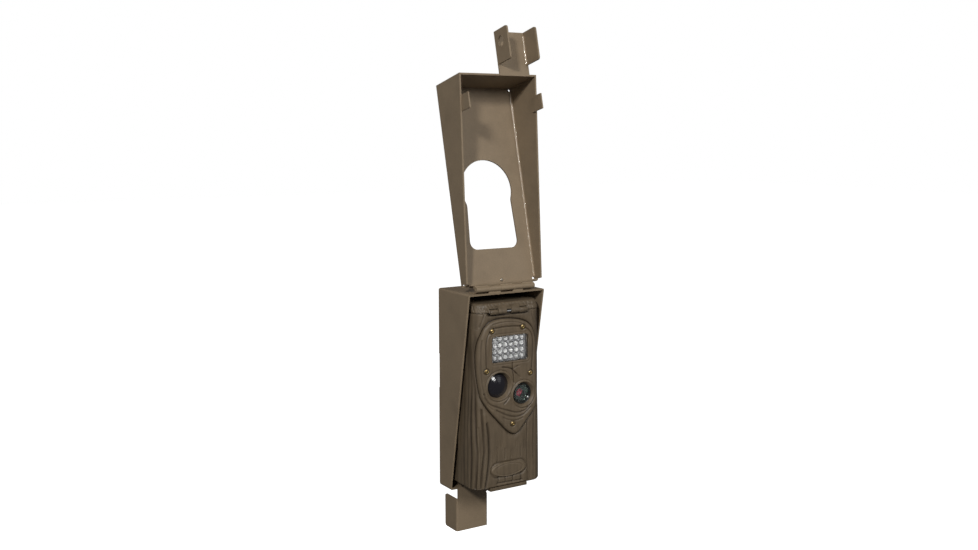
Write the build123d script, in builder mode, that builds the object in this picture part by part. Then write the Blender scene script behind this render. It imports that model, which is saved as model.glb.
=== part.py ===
from build123d import *
from math import atan2, cos, radians, sin
import os

# Game camera in a lockable steel security box, cover swung open.
# Millimetres. X to the right, +Y towards the tree, +Z up.
# The origin is the centre of the box's back face.

# ---------------------------------------------------------------- steel box
STEEL = 2.0
BEND = 3.0
BOX_WIDTH = 102.0
BOX_HEIGHT = 236.0
BOX_DEPTH_TOP = 69.5
BOX_DEPTH_BOTTOM = 27.0
FLOOR = -BOX_HEIGHT / 2
HALF = BOX_WIDTH / 2
STRAP_SLOT = (118.0, 159.0)
STRAP_SLOT_IN = 6.0
STRAP_SLOT_DEEP = 3.2
LAG_HOLE_R = 3.25
LAG_SPACING_X = 76.0
LAG_SPACING_Z = 170.0

# tail with the padlock flange, below the box
TAIL_LEFT = -42.5
TAIL_RIGHT = 0.5
TAIL_LOW = -52.0
TAIL_FLANGE_HIGH = -12.5
LOCK_HOLE_R = 6.0

# cover, hinged along the box's top edge
COVER_LEAN = 13.7
COVER_TOTAL_DEPTH = 83.5
COVER_LENGTH = 231.0
COVER_DEPTH_HINGE = 13.4
COVER_DEPTH_END = 55.1
STRIP_LEFT = 2.0
STRIP_RIGHT = 42.0
STRIP_END = 279.6
LUG_START = 242.0
LUG_REACH = 79.5
LOCK_V = 265.5
LOCK_W = 65.1
TAB_V = (190.0, 207.5)
TAB_REACH = 64.0
TAB_STEEL = 1.6
TAB_GAP = 0.3
JOGGLE_LOW = 8.0
JOGGLE_HIGH = 2.4
WINDOW_CENTRE = (-0.9, 111.0)
WINDOW_R = 33.7
WINDOW_NECK = (-29.2, 30.2)
WINDOW_FOOT = (-32.6, 32.4)
WINDOW_LOW = 41.6
WINDOW_NECK_HIGH = 100.0

# hinge of the cover
HINGE_Y = -68.0
HINGE_Z = 241.0
KNUCKLE_R = 3.2
BOX_PIN_R = 1.5
LEAF = 1.5
KNUCKLE_GAP = 0.3
COVER_KNUCKLES = [(-41.0, -24.0), (-8.0, 8.0), (22.0, 37.0)]
BASE_KNUCKLES = [(-24.0, -8.0), (8.0, 22.0)]

# ---------------------------------------------------------------- camera
CAM_BOTTOM = 11.0
DOOR_TOP = 214.4
CAP_BOTTOM = 215.0
CAP_TOP = 225.0
DOOR_REAR = -36.0
DOOR_FRONT = -75.0
HOUSING_REAR = -5.0
HOUSING_FRONT = -35.4
DOOR_HALF_BOTTOM = 46.7
DOOR_HALF_TOP = 43.5
HOUSING_HALF = 43.0
DOOR_CORNER = 14.0
DOOR_WALL = 2.5
HOUSING_WALL = 3.0
HOUSING_BACK = 2.0
BEZEL_FRONT = -77.0
BEZEL_REAR = -73.5

# camera door hinge, above the face
DOOR_AXIS_Y = -76.0
DOOR_AXIS_Z = 215.6
DOOR_KNUCKLE_R = 3.0
DOOR_PIN_R = 1.5
PIN_CLEARANCE = 0.06
DOOR_KNUCKLES = [(-28.0, -17.3), (11.6, 22.0)]
CAP_KNUCKLES = [(-17.0, -6.3), (1.0, 11.3)]

# face features: (x, height above the box's bottom)
FLASH = (0.0, 172.1)
FLASH_SIZE = (49.0, 30.0)
FLASH_REAR = -65.6
PANE_REAR = -74.4
PANE_FRONT = -75.7
PANE_LIP = 1.5
LED_CENTRE = (-0.5, 172.6)
LED_PITCH = 7.35
LED_R = 2.6
LED_BODY = 6.0
PIR = (-15.0, 130.0)
PIR_R = 14.0
LENS = (17.7, 117.0)
LENS_R = 12.0
LENS_GLASS_R = 10.5
BARREL_R = 7.0
ELEMENT_R = 5.1
SCREW_R = 1.5
SCREW_HEAD_R = 2.75
EYE_FLARE = 2.4
BEZEL_SCREWS = [(-24.7, 194.1), (16.4, 195.4), (-32.0, 148.6), (27.3, 140.8), (3.2, 84.0)]
BEZEL_CENTRE = (-2.0, 145.0)
BEZEL_OUTLINE = [
    (3.2, 205.5), (-6.2, 206.4), (-15.5, 206.4), (-26, 204), (-33.6, 198), (-37, 191),
    (-39.8, 183), (-41.2, 175), (-41.7, 155), (-40.8, 139), (-39.4, 127), (-37.6, 118.8),
    (-32, 108.6), (-25.3, 100.1), (-13.4, 87.3), (-4, 77.4), (3.2, 72.4), (8, 71.6),
    (14.3, 75.5), (21.2, 83.4), (28, 90.8), (34, 98.6), (38.2, 108), (38.9, 117), (38.2, 129),
    (36.8, 147), (36.3, 162), (35.8, 172), (34, 182), (30.6, 191.6), (25.6, 198), (15, 203.2),
]
BADGE = (-1.0, 31.0)
BADGE_HALF = (24.0, 8.7)

# boards and controls inside the door
PANEL_REAR = -43.4
PANEL_FRONT = -45.0
BOARD_REAR = -48.4
BOARD_FRONT = -50.0
LED_BOARD_REAR = -63.8
LED_BOARD_FRONT = -65.4
KNOB = (-26.0, 165.0)
BUTTONS = {"set_button": (-8.0, 165.0), "more_button": (5.0, 165.0)}
BUTTON_R = 4.0
SHAFT_R = 3.0
PANEL_SCREW_R = 1.3
BOSS_R = 3.2
PANEL_SCREWS = [(-37.0, 22.0), (37.0, 22.0), (-35.5, 204.0), (35.5, 204.0)]
STANDOFFS = [(-29.0, 28.0), (29.0, 28.0), (-29.0, 142.0), (29.0, 142.0)]
SD_CENTRE_X = 26.0
SD_BOTTOM = 152.0
HEADER_PITCH = 2.54
LCD = (-13.0, 192.5)
LCD_SIZE = (36.0, 15.0)
KNOB_R = 9.0

# batteries
CELL_R = 17.1
CELL_X = 17.6
CELL_Y = -25.1
CELL_PITCH = 61.7
CELL_LOW = 19.6
CELL_BODY = 60.0
CELL_BUTTON_R = 4.75
CONTACT = 0.5
SPRING_WIRE_R = 0.45

# latch under the door
LATCH_Y = -69.0
LATCH_Z = 9.6
LATCH_PIN_R = 0.8
LATCH_LEFT = -27.6
LATCH_RIGHT = 22.4
LATCH_GAP = 0.4
EAR = 2.6
NOSE_HALF = 10.0

os.makedirs("parts", exist_ok=True)


def up(height):
    """Row height of a point measured from the bottom of the steel box."""
    return FLOOR + height


def front_plane(y):
    """Sketch plane facing the viewer: local x is X and local y is Z."""
    return Plane(origin=(0, y, 0), x_dir=(1, 0, 0), z_dir=(0, -1, 0))


def side_plane(x):
    """Sketch plane across the object: local x is Y and local y is Z."""
    return Plane(origin=(x, 0, 0), x_dir=(0, 1, 0), z_dir=(1, 0, 0))


# The open cover has a frame of its own: v runs from the hinge to the free end along the
# face plate, w runs from the plate's outer face into the tray.
LEAN_SIN = sin(radians(COVER_LEAN))
LEAN_COS = cos(radians(COVER_LEAN))
V_AXIS = Vector(0, LEAN_SIN, LEAN_COS)
W_AXIS = Vector(0, -LEAN_COS, LEAN_SIN)
AXIS_V = BOX_HEIGHT - HINGE_Z
AXIS_W = COVER_TOTAL_DEPTH + HINGE_Y
COVER_ORIGIN = Vector(0, HINGE_Y, up(HINGE_Z)) - V_AXIS * AXIS_V - W_AXIS * AXIS_W


def cover_plane(w):
    """Plane parallel to the cover's face plate, w above its outer face."""
    return Plane(origin=COVER_ORIGIN + W_AXIS * w, x_dir=(1, 0, 0), z_dir=W_AXIS)


def cover_side(x):
    """Plane across the cover: local x is v and local y is w."""
    return Plane(origin=COVER_ORIGIN + Vector(x, 0, 0), x_dir=V_AXIS, z_dir=(1, 0, 0))


def block(x0, x1, y0, y1, z0, z1, mode=Mode.ADD):
    with Locations(((x0 + x1) / 2, (y0 + y1) / 2, up((z0 + z1) / 2))):
        Box(x1 - x0, y1 - y0, z1 - z0, mode=mode)


def bar_x(y, height, radius, x0, x1, mode=Mode.ADD):
    with BuildSketch(side_plane(x0)) as outline:
        with Locations((y, up(height))):
            Circle(radius)
    extrude(outline.sketch, amount=x1 - x0, mode=mode)


def disc_y(centre, radius, y_rear, y_front, mode=Mode.ADD):
    with BuildSketch(front_plane(y_rear)) as outline:
        with Locations((centre[0], up(centre[1]))):
            Circle(radius)
    extrude(outline.sketch, amount=y_rear - y_front, mode=mode)


def plate_y(centre, width, height, y_rear, y_front, corner=0.0, mode=Mode.ADD):
    with BuildSketch(front_plane(y_rear)) as outline:
        with Locations((centre[0], up(centre[1]))):
            if corner > 0:
                RectangleRounded(width, height, corner)
            else:
                Rectangle(width, height)
    extrude(outline.sketch, amount=y_rear - y_front, mode=mode)


def profile_x(points, x0, x1, mode=Mode.ADD):
    """Prism across the object from (y, height) points."""
    with BuildSketch(side_plane(x0)) as outline:
        with BuildLine():
            Polyline([(y, up(height)) for y, height in points], close=True)
        make_face()
    extrude(outline.sketch, amount=x1 - x0, mode=mode)


def cover_profile(points, x0, x1, mode=Mode.ADD):
    """Prism across the cover from (v, w) points."""
    with BuildSketch(cover_side(x0)) as outline:
        with BuildLine():
            Polyline(points, close=True)
        make_face()
    extrude(outline.sketch, amount=x1 - x0, mode=mode)


def cap_y(centre, radius, y_base, rise, mode=Mode.ADD):
    """Spherical cap on an axis along Y that bulges towards the viewer."""
    ball = (radius**2 + rise**2) / (2 * rise)
    half = atan2(radius, ball - rise) / 2
    with BuildSketch(Plane.XY.offset(up(centre[1]))) as outline:
        with BuildLine():
            Line((centre[0], y_base), (centre[0] + radius, y_base))
            ThreePointArc(
                (centre[0] + radius, y_base),
                (centre[0] + ball * sin(half), y_base - rise + ball * (1 - cos(half))),
                (centre[0], y_base - rise),
            )
            Line((centre[0], y_base - rise), (centre[0], y_base))
        make_face()
    revolve(outline.sketch, axis=Axis((centre[0], 0, up(centre[1])), (0, 1, 0)), mode=mode)


def shell_section(height, half, y_rear, y_front, radius, rear_radius=0.0):
    """Level section of a housing, rounded at the front and, if asked, at the rear."""
    with BuildSketch(Plane.XY.offset(up(height))) as outline:
        with Locations((0, (y_rear + y_front) / 2)):
            Rectangle(2 * half, y_rear - y_front)
        if radius > 0:
            fillet(vertices().group_by(Axis.Y)[0], radius)
        if rear_radius > 0:
            fillet(vertices().group_by(Axis.Y)[-1], rear_radius)
    return outline.sketch


def bezel_outline(grow):
    """Asymmetric outline of the face bezel, with each point moved outwards by a margin."""
    centre = Vector(*BEZEL_CENTRE)
    points = [Vector(x, height) - centre for x, height in BEZEL_OUTLINE]
    grown = [centre + point * (1 + grow / point.length) for point in points]
    with BuildSketch(front_plane(BEZEL_REAR)) as outline:
        with BuildLine():
            Spline([(point.X, up(point.Y)) for point in grown], periodic=True)
        make_face()
    return outline.sketch


def save(builder, name):
    builder.part.label = name
    export_step(builder.part, "parts/" + name + ".step")


# ================================================================ steel box
with BuildPart() as box_base:
    profile_x(
        [(0, 0), (-BOX_DEPTH_BOTTOM, 0), (-BOX_DEPTH_TOP, BOX_HEIGHT), (0, BOX_HEIGHT)],
        -HALF, HALF,
    )
    block(-HALF + STEEL, HALF - STEEL, -100, -STEEL, STEEL, BOX_HEIGHT - STEEL, Mode.SUBTRACT)
    inner_back = edges().filter_by(Axis.Z).filter_by(
        lambda e: abs(abs(e.center().X) - HALF + STEEL) < 0.1 and e.center().Y > -STEEL - 0.1
    )
    fillet(inner_back, BEND - STEEL)
    outer_back = edges().filter_by(Axis.Z).group_by(Axis.Y)[-1]
    fillet(outer_back, BEND)
    top_sides = edges().filter_by(Axis.Y).group_by(Axis.Z)[-1]
    fillet(top_sides.group_by(Axis.X)[0] + top_sides.group_by(Axis.X)[-1], BEND - 1)
    bottom_back = edges().filter_by(Axis.X).group_by(Axis.Z)[0].sort_by(Axis.Y)[-1]
    fillet(bottom_back, BEND)
    # tail web, bent down from the bottom wall, with a flange along each side
    block(TAIL_LEFT + STEEL, TAIL_RIGHT - STEEL, -BOX_DEPTH_BOTTOM, -BOX_DEPTH_BOTTOM + STEEL,
          TAIL_LOW, STEEL)
    with BuildSketch(Plane.XY.offset(up(TAIL_LOW))):
        with Locations(((TAIL_LEFT + TAIL_RIGHT) / 2, -BOX_DEPTH_BOTTOM / 2)):
            Rectangle(TAIL_RIGHT - TAIL_LEFT, BOX_DEPTH_BOTTOM)
            fillet(vertices().group_by(Axis.Y)[0], STEEL * 1.2)
        with Locations(((TAIL_LEFT + TAIL_RIGHT) / 2, -BOX_DEPTH_BOTTOM / 2 + STEEL)):
            Rectangle(TAIL_RIGHT - TAIL_LEFT - 2 * STEEL, BOX_DEPTH_BOTTOM, mode=Mode.SUBTRACT)
    extrude(amount=TAIL_FLANGE_HIGH - TAIL_LOW)
    flange_ends = edges().filter_by(Axis.X).filter_by(
        lambda e: e.center().Y > -1 and e.center().Z < up(-10)
    )
    fillet(flange_ends, BEND)
    # padlock hole in the right flange
    bar_x(LOCK_W - COVER_TOTAL_DEPTH, BOX_HEIGHT - LOCK_V, LOCK_HOLE_R,
          TAIL_RIGHT - STEEL - 1, TAIL_RIGHT + 1, Mode.SUBTRACT)
    # strap slots in the back corners
    for side in (-1, 1):
        with Locations((side * HALF, 0, up(sum(STRAP_SLOT) / 2))):
            Box(2 * STRAP_SLOT_IN, 2 * STRAP_SLOT_DEEP, STRAP_SLOT[1] - STRAP_SLOT[0],
                mode=Mode.SUBTRACT)
    # lag screw holes in the back plate
    with BuildSketch(front_plane(1)):
        with GridLocations(LAG_SPACING_X, LAG_SPACING_Z, 2, 2):
            Circle(LAG_HOLE_R)
    extrude(amount=STEEL + 2, mode=Mode.SUBTRACT)
    # drain hole in the bottom wall
    with Locations((25, -14, up(STEEL / 2))):
        Cylinder(2.5, 2 * STEEL, mode=Mode.SUBTRACT)

with BuildPart() as base_hinge_leaf:
    leaf_high = BOX_HEIGHT + LEAF
    block(COVER_KNUCKLES[0][0], COVER_KNUCKLES[-1][1], -63.5, -54, BOX_HEIGHT, leaf_high)
    for x0, x1 in BASE_KNUCKLES:
        left = x0 + KNUCKLE_GAP / 2
        right = x1 - KNUCKLE_GAP / 2
        profile_x(
            [(-60, BOX_HEIGHT), (-69, BOX_HEIGHT), (-69, 238.5), (HINGE_Y, HINGE_Z),
             (HINGE_Y + KNUCKLE_R, HINGE_Z), (-60, leaf_high)],
            left, right,
        )
        bar_x(HINGE_Y, HINGE_Z, KNUCKLE_R, left, right)
        bar_x(HINGE_Y, HINGE_Z, BOX_PIN_R, left - 1, right + 1, Mode.SUBTRACT)

with BuildPart() as box_hinge_pin:
    pin_r = BOX_PIN_R - PIN_CLEARANCE
    bar_x(HINGE_Y, HINGE_Z, pin_r, COVER_KNUCKLES[0][0] - 0.6, COVER_KNUCKLES[-1][1] + 0.6)
    chamfer(edges().filter_by(GeomType.CIRCLE), 0.4)

# ================================================================ cover
EDGE_SLOPE = (COVER_DEPTH_END - COVER_DEPTH_HINGE) / COVER_LENGTH


def edge_w(v):
    """Depth of the cover's side walls at v."""
    return COVER_DEPTH_HINGE + EDGE_SLOPE * v


with BuildPart() as box_cover:
    cover_profile(
        [(0, 0), (COVER_LENGTH, 0), (COVER_LENGTH, COVER_DEPTH_END), (0, COVER_DEPTH_HINGE)],
        -HALF, HALF,
    )
    cover_profile(
        [(STEEL, STEEL), (COVER_LENGTH - STEEL, STEEL), (COVER_LENGTH - STEEL, 100), (STEEL, 100)],
        -HALF + STEEL, HALF - STEEL, Mode.SUBTRACT,
    )
    inner_bends = edges().filter_by(
        lambda e: abs(e.length - COVER_LENGTH + 2 * STEEL) < 0.1
        and abs(abs(e.center().X) - HALF + STEEL) < 0.1
    )
    fillet(inner_bends, BEND - STEEL)
    long_bends = edges().filter_by(
        lambda e: abs(e.length - COVER_LENGTH) < 0.1 and abs(e.center().X) > HALF - 0.1
    )
    fillet(long_bends, BEND)
    # corner reliefs at the hinge end, beside the short flange
    for side in (-1, 1):
        cover_profile(
            [(-1, STEEL + 1), (STEEL + 0.6, STEEL + 1), (STEEL + 0.6, 20), (-1, 20)],
            side * (HALF - STEEL) - 3.5, side * (HALF - STEEL) + 3.5, Mode.SUBTRACT,
        )
    with BuildSketch(cover_plane(-1)):
        with Locations((-47.3, 3.6), (47.3, 3.6)):
            Circle(1.9)
        with Locations((-47.6, COVER_LENGTH - 3.6), (47.6, COVER_LENGTH - 3.6)):
            Circle(1.5)
    extrude(amount=STEEL + 3, mode=Mode.SUBTRACT)
    # strip with the two padlock lugs, beyond the end wall
    strip_low = COVER_DEPTH_END - STEEL
    cover_profile(
        [(COVER_LENGTH - STEEL, strip_low), (STRIP_END, strip_low),
         (STRIP_END, COVER_DEPTH_END), (COVER_LENGTH - STEEL, COVER_DEPTH_END)],
        STRIP_LEFT, STRIP_RIGHT,
    )
    for lug_left in (STRIP_LEFT, STRIP_RIGHT - STEEL):
        with BuildSketch(cover_side(lug_left)):
            with BuildLine():
                FilletPolyline(
                    (LUG_START, strip_low), (STRIP_END, strip_low), (STRIP_END, LUG_REACH),
                    (LUG_START, LUG_REACH), close=True, radius=[1, 1, BEND, BEND],
                )
            make_face()
        extrude(amount=STEEL)
    with BuildSketch(cover_side(STRIP_LEFT - 1)):
        with Locations((LOCK_V, LOCK_W)):
            Circle(LOCK_HOLE_R)
    extrude(amount=STEEL + 2, mode=Mode.SUBTRACT)
    # joggled tabs that slide inside the box's side walls
    tab_out = HALF - STEEL - TAB_GAP
    tab_in = tab_out - TAB_STEEL
    tab_edge = edge_w(sum(TAB_V) / 2)
    for side in (-1, 1):
        tab_points = [
            (side * (HALF - STEEL / 2), tab_edge - JOGGLE_LOW),
            (side * (HALF - STEEL / 2), tab_edge - JOGGLE_LOW + 2),
            (side * tab_out, tab_edge - JOGGLE_HIGH), (side * tab_out, TAB_REACH),
            (side * tab_in, TAB_REACH), (side * tab_in, tab_edge - JOGGLE_HIGH - TAB_STEEL),
            (side * (HALF - STEEL), tab_edge - JOGGLE_LOW),
        ]
        tab_plane = Plane(
            origin=COVER_ORIGIN + V_AXIS * TAB_V[0], x_dir=(1, 0, 0), z_dir=V_AXIS
        )
        with BuildSketch(tab_plane):
            with BuildLine():
                Polyline([(x, -w) for x, w in tab_points], close=True)
            make_face()
        extrude(amount=TAB_V[1] - TAB_V[0])
    # keyhole window over the camera's face
    with BuildSketch(cover_plane(-1)):
        with Locations(WINDOW_CENTRE):
            Circle(WINDOW_R)
        with BuildLine():
            Polyline((WINDOW_NECK[0], WINDOW_NECK_HIGH), (WINDOW_FOOT[0], WINDOW_LOW),
                     (WINDOW_FOOT[1], WINDOW_LOW), (WINDOW_NECK[1], WINDOW_NECK_HIGH),
                     close=True)
        make_face()
        fillet(vertices().group_by(Axis.Y)[0], 9)
        waist = vertices().filter_by(
            lambda p: WINDOW_NECK_HIGH - 12 < p.Y < WINDOW_NECK_HIGH and abs(p.X) > 20
        )
        fillet(waist, 12)
    extrude(amount=STEEL + 2, mode=Mode.SUBTRACT)

with BuildPart() as cover_hinge_leaf:
    cover_profile(
        [(0, 2.5), (0, 13.2), (-LEAF, 12.6), (-LEAF, 2.5)],
        COVER_KNUCKLES[0][0], COVER_KNUCKLES[-1][1],
    )
    for x0, x1 in COVER_KNUCKLES:
        left = x0 + KNUCKLE_GAP / 2
        right = x1 - KNUCKLE_GAP / 2
        cover_profile(
            [(0, 9), (0, 13.2), (-1.0, AXIS_W), (AXIS_V, AXIS_W), (AXIS_V, AXIS_W - KNUCKLE_R),
             (-LEAF, 9)],
            left, right,
        )
        bar_x(HINGE_Y, HINGE_Z, KNUCKLE_R, left, right)
        bar_x(HINGE_Y, HINGE_Z, BOX_PIN_R, left - 1, right + 1, Mode.SUBTRACT)

with BuildPart() as cover_rivet:
    with BuildSketch(cover_plane(STEEL)):
        with Locations((3, 5.2)):
            Circle(1.9)
    extrude(amount=1.1)
    fillet(edges().filter_by(GeomType.CIRCLE).sort_by(Axis.Y)[0], 0.8)

# ================================================================ fixing of the camera
BRACKET_HOLES = [(-22.0, 172.0), (22.0, 172.0), (-22.0, 204.0), (22.0, 204.0)]
BRACKET_SCREW_R = 1.7
with BuildPart() as camera_bracket:
    plate_y((0, 188), 60, 48, -STEEL, HOUSING_REAR, corner=5)
    for hole in BRACKET_HOLES:
        disc_y(hole, BRACKET_SCREW_R, -1, -6, Mode.SUBTRACT)

with BuildPart() as bracket_screws:
    for hole in BRACKET_HOLES:
        disc_y(hole, BRACKET_SCREW_R, -STEEL - 0.5, HOUSING_REAR - HOUSING_BACK)
        disc_y(hole, 2 * BRACKET_SCREW_R, HOUSING_REAR - HOUSING_BACK, -9.2)

with BuildPart() as rear_pads:
    for x in (-24.0, 24.0):
        plate_y((x, 60), 14, 70, -STEEL, HOUSING_REAR, corner=3)

# ================================================================ camera rear housing
with BuildPart() as rear_housing:
    loft([
        shell_section(CAM_BOTTOM, HOUSING_HALF + 0.8, HOUSING_REAR, HOUSING_FRONT, 0, 8),
        shell_section(CAP_BOTTOM, HOUSING_HALF, HOUSING_REAR, HOUSING_FRONT, 0, 8),
    ])
    loft([
        shell_section(CAP_BOTTOM, HOUSING_HALF + 0.5, HOUSING_REAR, DOOR_FRONT + 0.5, 12, 8),
        shell_section(CAP_TOP, HOUSING_HALF - 1.5, HOUSING_REAR, DOOR_FRONT + 4, 12, 8),
    ])
    fillet(faces().sort_by(Axis.Z)[-1].edges(), 2.5)
    block(-HOUSING_HALF + HOUSING_WALL, HOUSING_HALF - HOUSING_WALL, -60,
          HOUSING_REAR - HOUSING_BACK, CAM_BOTTOM + HOUSING_WALL, CAP_BOTTOM - 0.6,
          Mode.SUBTRACT)
    block(-36, 36, -66, HOUSING_REAR - HOUSING_BACK - 4, CAP_BOTTOM - 1, CAP_TOP - 3,
          Mode.SUBTRACT)
    # groove for the door gasket
    groove_centre = (0, (CAM_BOTTOM + CAP_BOTTOM) / 2)
    groove_high = CAP_BOTTOM - CAM_BOTTOM - 2.2
    with BuildSketch(front_plane(HOUSING_FRONT + 1.2)):
        with Locations((0, up(groove_centre[1]))):
            RectangleRounded(2 * HOUSING_HALF - 1.8, groove_high, 4)
            RectangleRounded(2 * HOUSING_HALF - 4.2, groove_high - 2.4, 3, mode=Mode.SUBTRACT)
    extrude(amount=1.2, mode=Mode.SUBTRACT)
    # knuckles of the door hinge on the cap
    for x0, x1 in CAP_KNUCKLES:
        profile_x(
            [(-78.8, DOOR_AXIS_Z + 1), (-77.4, 219.6), (-73.2, 222.5), (-69, 222.5),
             (-69, CAP_BOTTOM + 0.4), (-73, CAP_BOTTOM), (DOOR_AXIS_Y, DOOR_AXIS_Z)],
            x0, x1,
        )
        bar_x(DOOR_AXIS_Y, DOOR_AXIS_Z, DOOR_KNUCKLE_R, x0, x1)
    for x0, x1 in DOOR_KNUCKLES:
        bar_x(DOOR_AXIS_Y, DOOR_AXIS_Z, DOOR_KNUCKLE_R + 0.5, x0 - 0.3, x1 + 0.3, Mode.SUBTRACT)
    bar_x(DOOR_AXIS_Y, DOOR_AXIS_Z, DOOR_PIN_R + PIN_CLEARANCE, -30, 30, Mode.SUBTRACT)
    # screw holes to the bracket, and the slot for the latch's nose
    for hole in BRACKET_HOLES:
        disc_y(hole, BRACKET_SCREW_R + 0.4, -3, -9, Mode.SUBTRACT)
    block(-NOSE_HALF - 0.6, NOSE_HALF + 0.6, HOUSING_FRONT - 1, -30, CAM_BOTTOM - 1,
          CAM_BOTTOM + 2.3, Mode.SUBTRACT)

with BuildPart() as door_gasket:
    with BuildSketch(front_plane(HOUSING_FRONT + 1.2)):
        with Locations((0, up(groove_centre[1]))):
            RectangleRounded(2 * HOUSING_HALF - 1.9, groove_high - 0.1, 4)
            RectangleRounded(2 * HOUSING_HALF - 4.1, groove_high - 2.3, 3, mode=Mode.SUBTRACT)
    extrude(amount=1.5)
    block(-NOSE_HALF - 1, NOSE_HALF + 1, -37, -33, CAM_BOTTOM - 1, CAM_BOTTOM + 2.4, Mode.SUBTRACT)

with BuildPart() as door_hinge_pin:
    bar_x(DOOR_AXIS_Y, DOOR_AXIS_Z, DOOR_PIN_R, DOOR_KNUCKLES[0][0] - 0.4,
          DOOR_KNUCKLES[-1][1] + 0.4)
    chamfer(edges().filter_by(GeomType.CIRCLE), 0.3)

# ================================================================ batteries
TRAY_HALF = 36.5
TRAY_WEB = 1.6
TRAY_LOW = CAM_BOTTOM + HOUSING_WALL
TRAY_HIGH = CELL_LOW + 2 * CELL_PITCH + 2.4
with BuildPart() as battery_tray:
    block(-TRAY_HALF, TRAY_HALF, -21, HOUSING_REAR - HOUSING_BACK, TRAY_LOW, TRAY_HIGH)
    block(-TRAY_HALF, TRAY_HALF, -38, -20, TRAY_LOW, TRAY_LOW + TRAY_WEB)
    block(-TRAY_HALF, TRAY_HALF, -38, -20, TRAY_HIGH - TRAY_WEB, TRAY_HIGH)
    with BuildSketch(Plane.XY.offset(up(TRAY_LOW + TRAY_WEB))):
        with Locations((-CELL_X, CELL_Y), (CELL_X, CELL_Y)):
            Circle(CELL_R + 0.3)
    extrude(amount=TRAY_HIGH - TRAY_LOW - 2 * TRAY_WEB, mode=Mode.SUBTRACT)

with BuildPart() as battery_cells:
    for x in (-CELL_X, CELL_X):
        for level in range(2):
            low = up(CELL_LOW + level * CELL_PITCH)
            with BuildSketch(Plane.XY.offset(low)):
                with Locations((x, CELL_Y)):
                    Circle(CELL_R)
            extrude(amount=CELL_BODY)
            with BuildSketch(Plane.XY.offset(low + CELL_BODY)):
                with Locations((x, CELL_Y)):
                    Circle(CELL_BUTTON_R)
            extrude(amount=1.5)

with BuildPart() as battery_contacts:
    for x in (-CELL_X, CELL_X):
        for z in (TRAY_LOW + TRAY_WEB, TRAY_HIGH - TRAY_WEB - CONTACT):
            block(x - 11, x + 11, -35, -16, z, z + CONTACT)

with BuildPart() as battery_springs:
    for x in (-CELL_X, CELL_X):
        for turn, radius in enumerate((6.5, 5.4, 4.3)):
            with Locations((x, CELL_Y, up(TRAY_LOW + 2.6 + 1.0 * turn))):
                Torus(radius, SPRING_WIRE_R)

# ================================================================ camera door
with BuildPart() as front_shell:
    loft([
        shell_section(CAM_BOTTOM, DOOR_HALF_BOTTOM, DOOR_REAR, DOOR_FRONT, DOOR_CORNER),
        shell_section(DOOR_TOP, DOOR_HALF_TOP, DOOR_REAR, DOOR_FRONT, DOOR_CORNER),
    ])
    inner_front = DOOR_FRONT + DOOR_WALL
    inner_corner = DOOR_CORNER - DOOR_WALL
    loft([
        shell_section(CAM_BOTTOM + DOOR_WALL, DOOR_HALF_BOTTOM - DOOR_WALL, DOOR_REAR + 1,
                      inner_front, inner_corner),
        shell_section(DOOR_TOP - DOOR_WALL, DOOR_HALF_TOP - DOOR_WALL, DOOR_REAR + 1,
                      inner_front, inner_corner),
    ], mode=Mode.SUBTRACT)
    # frames behind the flash, motion sensor and lens openings
    plate_y(FLASH, FLASH_SIZE[0] + 4, FLASH_SIZE[1] + 4, FLASH_REAR, -73, corner=3)
    disc_y(PIR, PIR_R + 2, -70, -73)
    disc_y(LENS, LENS_GLASS_R + 2, -68, -73)
    for centre in BEZEL_SCREWS:
        disc_y(centre, BOSS_R, -66, -73)
    for centre in PANEL_SCREWS:
        disc_y(centre, BOSS_R, PANEL_FRONT, -73)
    # seat for the bezel
    extrude(bezel_outline(0.25), amount=3, mode=Mode.SUBTRACT)
    plate_y(FLASH, *FLASH_SIZE, FLASH_REAR + 2, -80, corner=2, mode=Mode.SUBTRACT)
    disc_y(PIR, PIR_R, -60, -80, Mode.SUBTRACT)
    disc_y(LENS, LENS_GLASS_R, -60, -80, Mode.SUBTRACT)
    for centre in BEZEL_SCREWS:
        disc_y(centre, SCREW_R, -65, -80, Mode.SUBTRACT)
    for centre in PANEL_SCREWS:
        disc_y(centre, PANEL_SCREW_R, PANEL_FRONT + 1, -62, Mode.SUBTRACT)
    # knuckles of the door hinge
    for x0, x1 in DOOR_KNUCKLES:
        profile_x(
            [(-78.8, DOOR_AXIS_Z - 1.2), (-75.4, 207.4), (-73, 207.4), (-73, DOOR_TOP - 0.4),
             (DOOR_AXIS_Y, DOOR_AXIS_Z)],
            x0, x1,
        )
        bar_x(DOOR_AXIS_Y, DOOR_AXIS_Z, DOOR_KNUCKLE_R, x0, x1)
    bar_x(DOOR_AXIS_Y, DOOR_AXIS_Z, DOOR_KNUCKLE_R + 0.5, CAP_KNUCKLES[0][0] - 0.3,
          CAP_KNUCKLES[-1][1] + 0.3, Mode.SUBTRACT)
    bar_x(DOOR_AXIS_Y, DOOR_AXIS_Z, DOOR_PIN_R + PIN_CLEARANCE, -30, 30, Mode.SUBTRACT)
    # ears and room for the latch
    latch_room = (LATCH_LEFT - LATCH_GAP, LATCH_RIGHT + LATCH_GAP)
    for x0, x1 in ((latch_room[0] - EAR, latch_room[0]), (latch_room[1], latch_room[1] + EAR)):
        block(x0, x1, LATCH_Y - 2.5, LATCH_Y + 2.5, LATCH_Z - 1.6, CAM_BOTTOM + 1)
        bar_x(LATCH_Y, LATCH_Z, LATCH_PIN_R, x0 - 1, x1 + 1, Mode.SUBTRACT)
    block(*latch_room, DOOR_FRONT - 1, LATCH_Y + 3, CAM_BOTTOM - 1,
          CAM_BOTTOM + 1.4, Mode.SUBTRACT)

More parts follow.
